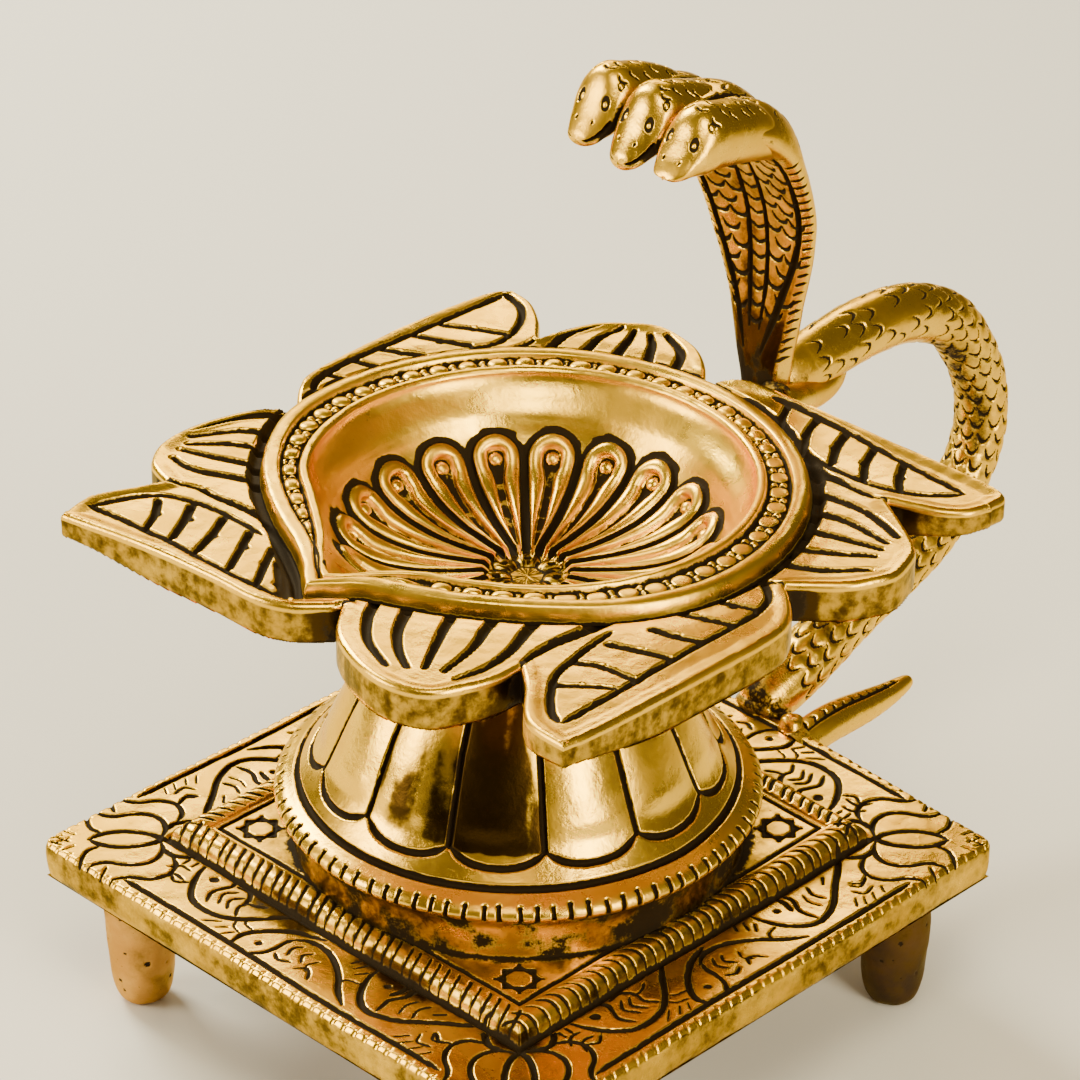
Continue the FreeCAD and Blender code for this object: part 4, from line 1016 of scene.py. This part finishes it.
def cup_rim(turn, inner, outer, band):
    """Radius, level and ink of the flat rim: inner lip, beaded channel and outer band."""
    width = (outer - inner)[:, None]
    from_in, from_out = band[None] * width, (1 - band[None]) * width
    rr = inner[:, None] + from_in
    channel = ramp(from_in, LIP - 0.35, LIP + 0.25) * ramp(from_out, OUTER_BAND - 0.35, OUTER_BAND + 0.25)
    crown_in = 0.65 * dome((from_in - 0.95) / 1.15)
    crown_out = 0.85 * dome((from_out - 1.6) / 1.6)
    z = 97.5 + np.maximum(crown_in, crown_out) * (1 - channel) - 0.45 * channel
    z -= 0.5 * (1 - ramp(from_out, 0.0, 0.5)) + 0.3 * (1 - ramp(from_in, 0.0, 0.35))
    rise, outline = beads(turn, inner, outer, rr)
    z += rise * channel
    grooves = np.maximum(1 - np.abs(from_in - LIP - 0.15) / 0.55,
                         1 - np.abs(from_out - OUTER_BAND - 0.15) / 0.55)
    grooves = np.clip(grooves, 0, 1)
    z -= 0.35 * grooves
    ink = np.maximum(grooves * 1.15, channel * (1 - ramp(rise, 0.03, 0.25)) * 0.80)
    ink = np.maximum(ink, outline * channel)
    # soot in the corner beside the spout
    theta = np.radians(turn)[:, None]
    from_corner = np.hypot(rr * np.sin(theta) + 2.2, 39.6 - rr * np.cos(theta))
    ink = np.maximum(ink, 1.1 * (1 - ramp(from_corner, 1.0, 2.2)))
    z += 0.05 * lattice(len(turn), len(band), 120, 4, 64, wrap=True)
    return rr, z, ink


def make_cup():
    turn = np.arange(0, 360, 0.25)
    outer, inner = rim_radii(turn)
    bowl = smooth(BOWL, step=0.21)
    v = arc_lengths(bowl)
    # bottom of the bowl with its rosette, which fades out below the wall
    height, bowl_ink, bowl_stain = rosette(turn, bowl, v)
    slope = np.gradient(bowl, axis=0)
    slope /= np.linalg.norm(slope, axis=1, keepdims=True)
    h = height + 0.05 * lattice(len(turn), len(bowl), 24, 12, 61, wrap=True)
    h = h * (1 - ramp(v, v[-1] - 1.6, v[-1]))[None]
    bowl_r = bowl[:, 0][None] - h * slope[:, 1][None]
    bowl_z = (BOWL_FLOOR + bowl[:, 1])[None] + h * slope[:, 0][None]
    # wall above it, curving out to the lip
    up = np.linspace(0, 1, 46)[1:][None]
    shape = (len(turn), up.shape[1])
    foot_r, foot_z = bowl[-1, 0], BOWL_FLOOR + bowl[-1, 1]
    wall_r = foot_r + 2.9 * up * (1 - up) ** 2 + (inner - foot_r)[:, None] * up ** 2 * (3 - 2 * up)
    wall_r += 0.06 * lattice(*shape, 18, 4, 62, wrap=True) * np.sin(math.pi * up)
    wall_z = np.broadcast_to(foot_z + (LIP_LEVEL - foot_z) * up, shape)
    wall_stain = 0.10 + 0.14 * lattice(*shape, 14, 5, 63, wrap=True)
    # rim, and its outer side down into the black channel
    band = np.array([0.0, 0.012, 0.03, 0.06, 0.10, *np.linspace(0.13, 0.90, 62),
                     0.93, 0.955, 0.975, 0.99, 1.0])
    rim_r, rim_z, rim_ink = cup_rim(turn, inner, outer, band)
    down = np.array([0.15, 0.45, 0.75, 1.0])[None]
    side_r = outer[:, None] + 0.35 * down
    side_z = rim_z[:, -1:] + (95.3 - rim_z[:, -1:]) * down
    side_ink = np.broadcast_to([0.0, 0.25, 0.8, 1.1], side_z.shape)
    radial = np.hstack([bowl_r, wall_r, rim_r, side_r])
    level = np.hstack([bowl_z, wall_z, rim_z, side_z])
    ink = np.hstack([bowl_ink, np.zeros(shape), rim_ink, side_ink])
    stain = np.hstack([bowl_stain, wall_stain, np.zeros_like(rim_z), np.zeros_like(side_z)])
    theta = np.radians(turn)[:, None]
    shell = Shell()
    shell.grid(np.stack([radial * np.sin(theta), RIM_SHIFT - radial * np.cos(theta), level], -1), wrap_u=True,
               ink=ink, stain=stain)
    # underside, from the neck out to the seat in the petal plate
    under = smooth([(2.6, 75.8), (8.0, 75.8), (8.2, 77.6), (12.0, 78.2), (20.0, 79.0), (27.5, 82.4),
                    (33.5, 88.2), (36.3, 91.2), (36.4, 95.2)], step=0.7)
    below = revolve_grid(under, np.arange(0, 360, 2.0))
    below[..., 1] += RIM_SHIFT * ramp(below[..., 2], 76.0, 80.0)
    shell.grid(below, wrap_u=True, ink=0.35, stain=0.5)
    shell.make("oil_cup_bowl", ["oil_cup"], POLISHED)


# ---------------------------------------------------------------- cobra
HOOD = [
    # y, z, half width, half depth, hollow of the front
    (55.6, 91.5, 3.4, 3.5, 0.0),
    (56.4, 97.0, 4.3, 3.6, 0.0),
    (57.0, 104.0, 6.1, 3.4, 0.4),
    (57.2, 111.0, 7.8, 3.0, 1.0),
    (57.1, 119.0, 10.2, 2.7, 1.8),
    (56.0, 127.5, 12.2, 2.7, 2.4),
    (53.0, 135.8, 13.4, 2.9, 2.6),
    (48.4, 143.4, 13.9, 3.3, 2.2),
    (42.4, 148.0, 14.0, 3.5, 1.4),
    (36.4, 150.0, 13.4, 3.2, 0.5),
    (30.6, 150.6, 11.0, 2.2, 0.0),
]
HEAD = [
    # y, top, underside and half width of one head, from the back of its neck to its snout
    (47.5, 146.8, 140.6, 3.9), (42.6, 151.6, 142.2, 4.5), (38.0, 154.1, 143.6, 4.8),
    (33.0, 155.6, 144.9, 5.0), (30.2, 156.4, 145.3, 5.0), (28.0, 155.7, 145.1, 4.9),
    (26.2, 153.9, 144.9, 4.6), (24.6, 151.5, 144.6, 4.1), (23.2, 149.3, 144.3, 3.5),
    (22.1, 147.8, 144.2, 2.8), (21.4, 146.8, 144.4, 1.9), (21.05, 145.9, 145.1, 0.1),
]
HEADS = [
    # side of the middle, how far forward, how high the neck stands, how far the chin is raised
    (-1, -0.6, 0.2, 0.6),
    (0, 0.0, 0.0, 0.0),
    (1, 0.3, -0.6, 2.2),
]


def spine_normals(line):
    """Front-facing normals of a curve in the middle plane, given as (y, z)."""
    t = np.gradient(line, axis=0)
    t /= np.linalg.norm(t, axis=1, keepdims=True)
    return np.stack([-t[:, 1], t[:, 0]], 1)


def engrave_hood(relief, s, half, part_from):
    """Belly grooves and scales on the hood's front, scale arcs and the heads' parting grooves on its back."""
    end = s[-1]

    def half_at(at):
        return float(np.interp(at, s, half))

    def front(x, at):
        """Position on the front face, x millimetres right of its middle."""
        return ((1 - x / half_at(at)) / 4, at)

    def back(x, at):
        return ((3 + x / half_at(at)) / 4, at)

    # two straight grooves frame a column of belly plates
    for x in (-1.9, 1.9):
        line = [front(x * 0.55, 14), front(x * 0.9, 22), front(x, 34), front(x * 1.05, end - 14)]
        relief.stroke(line, 0.95, 0.6)
    # a black line inside each edge, and nicks along the edge
    edge = ((10, 0.35), (17, 0.55), (26, 0.72), (36, 0.80), (end - 22, 0.80), (end - 12, 0.70))
    for side in (-1, 1):
        relief.stroke([front(side * half_at(at) * share, at) for at, share in edge], 1.5, 0.75, end=1.0)
        for at in np.arange(9, end - 20, 1.9):
            nick = [front(side * half_at(at) * 0.88, at), front(side * half_at(at) * 0.985, at + 0.6)]
            relief.stroke(nick, 0.55, 0.35, ink=0.8)
    for at in np.arange(15, end - 14, 2.9):
        relief.stroke([front(-1.55, at + 1.0), front(0, at), front(1.55, at + 1.0)], 0.6, 0.4, ink=0.95)
    # staggered scales either side of the plates
    scale = [(-1.75, 1.5), (-1.1, 0.35), (0, 0), (1.1, 0.35), (1.75, 1.5)]
    for row, at in enumerate(np.arange(14, end - 12, 2.75), 1):
        room = half_at(at) * 0.76 - 2.2
        for x in np.arange(3.7 + (row % 2) * 1.9, 2.6 + room, 3.8):
            for side in (-1, 1):
                wobble = RNG.normal(0, 0.15)
                line = [front(side * (x + dx), at + dy + wobble) for dx, dy in scale]
                relief.stroke(line, 0.72, 0.45, ink=1.0, taper=0.3)
    # rows of short scale arcs on the back
    for row, at in enumerate(np.arange(20, end - 3, 3.1), 1):
        room = half_at(at) * 0.86
        for x in np.arange(-room + (row % 2) * 1.6, room, 3.3):
            line = [back(x - 1.1, at - 0.8), back(x, at + 0.2), back(x + 1.1, at - 0.5)]
            relief.stroke(line, 0.55, 0.35, ink=0.9)
    # deep grooves part the crown into three lobes
    for x in (-4.7, 4.7):
        line = [back(x * 0.5, part_from), back(x * 0.9, part_from + 8), back(x, end - 8), back(x, end)]
        relief.stroke(line, 1.5, 1.0, taper=0.3)


def add_hood(shell):
    table = smooth(HOOD, step=0.24)
    line = table[:, :2]
    s = arc_lengths(line)
    end = s[-1]
    part_from = end - 25.0
    half, deep, dish = table[:, 2], table[:, 3], table[:, 4]
    normal = spine_normals(line)
    u = np.linspace(0, 1, 301)[:-1]
    relief = Relief(u, s, worth=half * 4, wrap=True)
    engrave_hood(relief, s, half, part_from)
    # u runs over the front from the right edge to the left, then back over the rear
    share = np.where(u < 0.5, 1 - 4 * u, 4 * u - 3)[:, None]
    face = np.where(u < 0.5, 1.0, -1.0)[:, None]
    x = share * half[None] + 0.9 * (1 - ramp(s, 1, 10))[None]
    thick = deep[None] * np.clip(1 - np.abs(share) ** 3.0, 0, 1) ** 0.5
    lobes = np.abs(np.cos(share * math.pi * 1.5)) ** 0.8
    crown = (ramp(s, part_from, part_from + 8) - ramp(s, end - 14, end - 7))[None] * (face < 0) * 1.3 * lobes
    uneven = 0.06 * lattice(len(u), len(s), 14, 20, 71, wrap=True)
    offset = dish[None] * share ** 2 + face * (thick + relief.height() + uneven + crown)
    points = np.stack([x, line[:, 0] + normal[:, 0] * offset, line[:, 1] + normal[:, 1] * offset], -1)
    # soot at the foot, under the heads and all over the front
    soot = clouds(len(u), len(s), 10, 16, 72, True)
    ink = np.maximum(relief.ink, 0.85 * (1 - ramp(s, 6.0, 13.0)) * soot + 0.2 * (1 - ramp(s, 5.0, 12.0)))
    ink = np.maximum(ink, 0.60 * (face > 0) * ramp(s, end - 20, end - 8) * soot)
    ink = ink + (0.12 + 0.26 * soot) * (face > 0)
    inner_face = (face > 0) * (1 - ramp(np.abs(share), 0.80, 0.93))
    stain = (0.50 + 0.18 * soot) * inner_face + 0.3 * (1 - ramp(s, 8, 24)) \
        + 0.30 * inner_face * ramp(s, end - 24, end - 10)
    shell.grid(points, wrap_u=True, flip=True, ink=ink, stain=stain)


def engrave_head(head, total, with_mouth):
    """Eyes, brow pits, nostrils, mouth and the scale nicks over one head's crown."""
    for turn, outer in ((50, -1), (130, 1)):
        head.blob(turn, total - 7.6, 1.3, -0.45, ink=1.1)
        head.blob(turn, total - 7.6, 0.48, 0.35, clean=True)
        head.blob(turn + outer * 9, total - 12.0, 0.85, -0.3, ink=1.0)
        head.blob(turn + outer * 9, total - 12.0, 0.42, 0.25, clean=True)
        head.blob(turn - outer * 10, total - 3.6, 0.42, -0.45, ink=1.0)
    if with_mouth:
        for corner, inward in ((6, 1), (174, -1)):
            mouth = [(corner + inward * turn, total - back) for turn, back in ((0, 6.8), (2, 4.0), (4, 0.9))]
            head.stroke(mouth, 1.5, 1.2, taper=0.1)
    for at in np.arange(4, total - 12, 2.6):
        for column in (52, 84, 116):
            turn = column + RNG.normal(0, 5)
            nick = at + RNG.normal(0, 0.4)
            line = [(turn - 13, nick - 0.9), (turn, nick + 0.1), (turn + 11, nick - 0.3)]
            head.stroke(line, 0.5, 0.32, ink=0.95)


def add_head(shell, index, side, reach, lift, tip_lift):
    """Long lobe along the crown, rising to a brow and falling steeply to a snout."""
    lobe = smooth(HEAD, step=0.16)
    length = arc_lengths(lobe[:, :2])
    total = length[-1]
    toward = ramp(length, total * 0.55, total)
    rising = lift * ramp(length, 4, 18)
    high = lobe[:, 1] + rising + tip_lift * toward * 0.3
    low = lobe[:, 2] + rising + tip_lift * toward
    wide = lobe[:, 3]
    around = np.arange(0, 360, 2.5)
    size = (len(around), len(length))
    head = Relief(around, length, worth=(wide + 1.0) * math.pi / 180, wrap=True)
    engrave_head(head, total, with_mouth=side < 1)
    a = np.radians(around)[:, None]
    ca, sa = np.cos(a), np.sin(a)
    narrowing = 1 - 0.20 * np.clip(sa, 0, 1) ** 2 - 0.28 * np.clip(-sa, 0, 1) ** 2
    cx = np.sign(ca) * np.abs(ca) ** 0.80 * narrowing
    cz = np.sign(sa) * np.abs(sa) ** 0.82
    h = head.height() + 0.07 * lattice(*size, 8, 14, 80 + index, wrap=True)
    brow = 0.4 * np.exp(-((length - total + 10.5) / 2.2) ** 2)[None] \
        * np.exp(-((np.degrees(a) - 90) / 40) ** 2)
    x = side * (8.6 + 1.0 * ramp(length, 2, total * 0.7))[None] + cx * (wide[None] + h)
    y = (lobe[:, 0] - reach * toward)[None] - 0.3 * h
    z = (high + low)[None] / 2 + cz * ((high - low)[None] / 2 + h + brow)
    # soot underneath and between neighbouring heads
    grime = clouds(*size, 9, 9, 90 + index, True)
    lower = (1 - ramp(sa, -0.85, -0.2)) * grime * 0.5
    between_heads = np.zeros(size)
    if side < 1:
        between_heads = np.clip(ca * 1.8, 0, 1) * np.exp(-((sa + 0.15) / 0.62) ** 2)
    if side > -1:
        left = np.clip(-ca * 1.8, 0, 1) * np.exp(-((sa + 0.1) / 0.6) ** 2)
        between_heads = np.maximum(between_heads, left)
    between_heads = between_heads * ramp(length, 1, 5)[None] * (1.2 - 0.45 * toward)[None]
    between_heads = between_heads * (0.30 + 0.85 * grime)
    shell.grid(np.stack([x, y, z], -1), wrap_u=True,
               ink=np.maximum(head.ink, np.maximum(lower, between_heads)),
               stain=0.20 * grime + lower + 0.4 * between_heads)


def make_cobra():
    shell = Shell()
    add_hood(shell)
    for index, head in enumerate(HEADS):
        add_head(shell, index, *head)
    shell.make("cobra_hood_cast", ["cobra_hood"], ANTIQUE)


LOOP = [
    # y, z and radius of the looped body, from the hood down to the base
    (58.0, 93.6, 3.6), (61.5, 94.0, 4.4), (66.0, 94.2, 4.8), (73.0, 94.9, 5.0), (80.5, 95.5, 5.1),
    (89.0, 95.0, 5.1), (96.6, 92.8, 5.0), (103.6, 88.9, 4.9), (109.0, 82.4, 4.8), (112.8, 75.0, 4.7),
    (114.3, 67.5, 4.6), (113.3, 61.0, 4.6), (109.6, 54.8, 4.6), (103.6, 48.8, 4.7), (97.0, 45.4, 4.8),
    (89.0, 42.8, 4.9), (80.2, 39.8, 5.1), (73.0, 36.9, 5.2), (66.6, 34.2, 5.2), (61.0, 32.1, 4.8),
    (57.6, 31.0, 3.8), (56.0, 30.7, 0.6),
]
STRUT = [(75.5, 92.2, 1.6), (71.5, 90.4, 2.6), (66.5, 90.2, 2.6), (60.5, 91.8, 2.6), (55.0, 93.4, 2.9),
         (52.6, 93.9, 3.2)]
TAIL = [(55.2, 28.3, 3.0), (58.0, 28.7, 3.2), (62.6, 29.2, 3.3), (68.3, 29.1, 3.2), (74.1, 28.6, 2.8),
        (79.8, 28.4, 2.15), (83.6, 28.6, 1.6), (85.8, 28.8, 1.0), (86.5, 28.9, 0.1)]
BRAZE = [
    # middle, half sizes and dirt of each lump of braze round a joint
    ((0.4, 58.6, 94.6), (4.0, 2.6, 3.4), 0.62),
    ((0.0, 58.4, 31.4), (4.8, 2.4, 2.4), 0.62),
    ((8.2, 57.4, 31.0), (2.6, 2.2, 2.2), 0.38),
    ((5.6, 53.6, 94.2), (3.6, 1.9, 3.0), 0.62),
]


def tube(shell, table, around, seed, ink, stain, decorate=None, lateral=(0.0,)):
    """Round bar along a path of (y, z, radius), moved sideways by evenly spaced steps, with its relief."""
    rows = smooth(table, step=0.3)
    line, radius = rows[:, :2], rows[:, 2]
    s = arc_lengths(line)
    out = spine_normals(line)
    relief = Relief(around, s, worth=np.maximum(radius, 0.3) * math.pi / 180, wrap=True)
    if decorate:
        decorate(relief, s)
    a = np.radians(around)[:, None]
    h = relief.height() + 0.06 * lattice(len(around), len(s), 9, max(4, int(s[-1] / 9)), seed, wrap=True)
    reach = radius[None] + h
    x = np.cos(a) * reach + np.interp(s, np.linspace(0, s[-1], len(lateral)), lateral)[None]
    lift = np.sin(a) * reach
    points = np.stack([x, line[:, 0] + out[:, 0] * lift, line[:, 1] + out[:, 1] * lift], -1)
    grime = clouds(len(around), len(s), 8, max(4, int(s[-1] / 7)), seed + 1, True)
    shell.grid(points, wrap_u=True, ink=np.maximum(relief.ink, ink(s, a, grime)), stain=stain(s, a, grime))


def scales(relief, s):
    """Staggered crescents round the body, opening towards the tail and sparse near the hood."""
    for row, at in enumerate(np.arange(9, s[-1] - 7, 3.15), 1):
        dense = 0.25 + 0.75 * float(ramp(at, 30.0, 48.0))
        for turn in np.arange((row % 2) * 20, 360, 40.0):
            if RNG.random() > dense + 0.25:
                continue
            middle = turn + RNG.normal(0, 2)
            crescent = ((-15, -0.9), (-8, 0.5), (0, 1.0), (8, 0.5), (15, -0.9))
            curve = [(middle + across, at + along) for across, along in crescent]
            relief.stroke(curve, 0.75, 0.5 * (0.6 + 0.4 * dense), ink=0.95, taper=0.4)
            relief.blob(middle, at - 0.9, 1.45, 0.03 + 0.13 * dense)


def tail_nicks(relief, s):
    relief.stroke([(66, 3.0), (70, s[-1] * 0.5), (78, s[-1] - 4)], 0.8, 0.5, ink=0.95)
    for at in np.arange(3, s[-1] - 5, 2.3):
        relief.stroke([(72, at), (88, at + 0.7), (104, at + 0.4)], 0.6, 0.35, ink=0.9)
        relief.stroke([(-30, at + 1.0), (-44, at + 1.5)], 0.45, 0.25, ink=0.6)


def loop_soot(s, a, grime):
    """Black round both joints and in the bend's inner side."""
    joint = np.maximum(1 - ramp(s, 3.0, 10.0), ramp(s, s[-1] - 9, s[-1] - 3))[None]
    inner_side = ramp(-np.sin(a), 0.2, 0.9) * ramp(s, 30, 44)[None] * (1 - ramp(s, 84, 104))[None]
    return np.maximum(joint * (0.35 + 0.6 * grime), inner_side * (0.35 + 0.4 * grime))


def make_snake():
    shell = Shell()
    tube(shell, LOOP, np.arange(0, 360, 3.0), 101, decorate=scales, ink=loop_soot,
         stain=lambda s, a, grime: 0.12 + 0.3 * grime + 0.3 * ramp(-np.sin(a), 0.0, 0.8))
    tube(shell, STRUT, np.arange(0, 360, 6.0), 103, lateral=(0.5, 1.6, 3.0, 4.4, 5.6, 6.4),
         ink=lambda s, a, grime: (0.3 + 0.5 * grime) * ramp(s, s[-1] - 7, s[-1])[None],
         stain=lambda s, a, grime: 0.3)
    a = np.radians(np.arange(0, 360, 8.0))[:, None]
    b = np.linspace(-math.pi / 2, math.pi / 2, 23)[None]
    for centre, size, dirt in BRAZE:
        lump = 1 + 0.22 * lattice(45, 23, 7, 5, int(centre[2] * 3), wrap=True)
        shape = np.stack([centre[0] + size[0] * np.cos(a) * np.cos(b) * lump,
                          centre[1] + size[1] * np.sin(a) * np.cos(b) * lump,
                          centre[2] + size[2] * np.sin(b) * lump * np.ones_like(a)], -1)
        shell.grid(shape, wrap_u=True, ink=dirt * lump, stain=dirt)
    shell.make("snake_body_loop", ["snake_body"], ANTIQUE)

    tail = Shell()
    tube(tail, TAIL, np.arange(0, 360, 4.0), 105, decorate=tail_nicks, lateral=(10.4, 10.2, 10.2, 10.2),
         ink=lambda s, a, grime: (0.4 + 0.5 * grime) * (1 - ramp(s, 2, 8))[None],
         stain=lambda s, a, grime: 0.25)
    tail.make("snake_tail_horn", ["snake_tail"], ANTIQUE)


make_base()
make_pedestal()
make_feet()
make_petals()
make_cup()
make_cobra()
make_snake()
CARRIED_OVER = {"tie_stud": STEEL, "tie_washer": STEEL, "tie_nut": STEEL,
                "upper_handle_pin": FOOT, "lower_handle_pin": FOOT}
for label, material in CARRIED_OVER.items():
    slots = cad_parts[label].data.materials
    slots.clear()
    slots.append(material)


# ---------------------------------------------------------------- floor, light and camera
SIDE = 2 * HALF * MM
AIM = (0.0, 0.02, 0.08)    # what every light points at, in metres
LIGHTS = [
    # name, place and size in metres, power in watts, colour
    ("key", (-0.85, 0.10, 0.70), (0.38, 0.46), 18.0, (1.0, 0.92, 0.66)),
    ("back", (-0.80, 0.78, 0.62), (0.60, 0.28), 5.0, (1.0, 0.82, 0.48)),
    ("side", (0.80, -0.10, 0.40), (0.30, 0.55), 9.0, (1.0, 0.87, 0.56)),
    ("front", (-0.58, -0.80, 0.42), (0.45, 0.50), 11.0, (1.0, 0.86, 0.58)),
    ("top", (0.26, -0.26, 0.80), (0.36, 0.36), 4.5, (1.0, 0.86, 0.50)),
]
AZIMUTH, ELEVATION, ROLL = math.radians(44.48), math.radians(29.88), math.radians(0.387)
DISTANCE = 6.846 * SIDE


def make_floor():
    count = 40
    axis = np.linspace(-1500, 1500, count)
    x, y = np.meshgrid(axis, axis, indexing="ij")
    floor = build("floor", np.stack([x, y, np.zeros_like(x)], -1), [grid_faces(count, count)])
    mat = bpy.data.materials.new("pale_paper")
    mat.use_nodes = True
    shader = mat.node_tree.nodes["Principled BSDF"]
    shader.inputs["Base Color"].default_value = (0.80, 0.79, 0.80, 1)
    shader.inputs["Roughness"].default_value = 0.9
    floor.data.materials.append(mat)


def make_light():
    world = bpy.data.worlds.new("studio")
    bpy.context.scene.world = world
    world.use_nodes = True
    background = world.node_tree.nodes["Background"]
    background.inputs["Color"].default_value = (0.62, 0.52, 0.41, 1)
    background.inputs["Strength"].default_value = 0.24
    for name, place, size, power, colour in LIGHTS:
        data = bpy.data.lights.new(name, "AREA")
        data.shape = "RECTANGLE"
        data.size, data.size_y = size
        data.energy = power
        data.color = colour
        lamp = bpy.data.objects.new(name, data)
        lamp.location = place
        lamp.rotation_mode = "QUATERNION"
        lamp.rotation_quaternion = (Vector(AIM) - Vector(place)).to_track_quat("-Z", "Y")
        bpy.context.scene.collection.objects.link(lamp)


def make_camera():
    target = Vector((-0.2392 * SIDE, 0.2848 * SIDE, 0.300 * SIDE + BASE_TOP * MM))
    back = Vector((math.sin(AZIMUTH) * math.cos(ELEVATION), -math.cos(AZIMUTH) * math.cos(ELEVATION),
                   math.sin(ELEVATION)))
    right = Vector((math.cos(AZIMUTH), math.sin(AZIMUTH), 0))
    up = back.cross(right)
    right, up = math.cos(ROLL) * right + math.sin(ROLL) * up, math.cos(ROLL) * up - math.sin(ROLL) * right
    data = bpy.data.cameras.new("camera")
    data.lens, data.sensor_width = 150.0, 36.0
    data.clip_start, data.clip_end = 0.01, 20.0
    camera = bpy.data.objects.new("camera", data)
    camera.matrix_world = Matrix((right, up, back)).transposed().to_4x4()
    camera.location = target + back * DISTANCE
    bpy.context.scene.collection.objects.link(camera)
    bpy.context.scene.camera = camera


make_floor()
make_light()
make_camera()
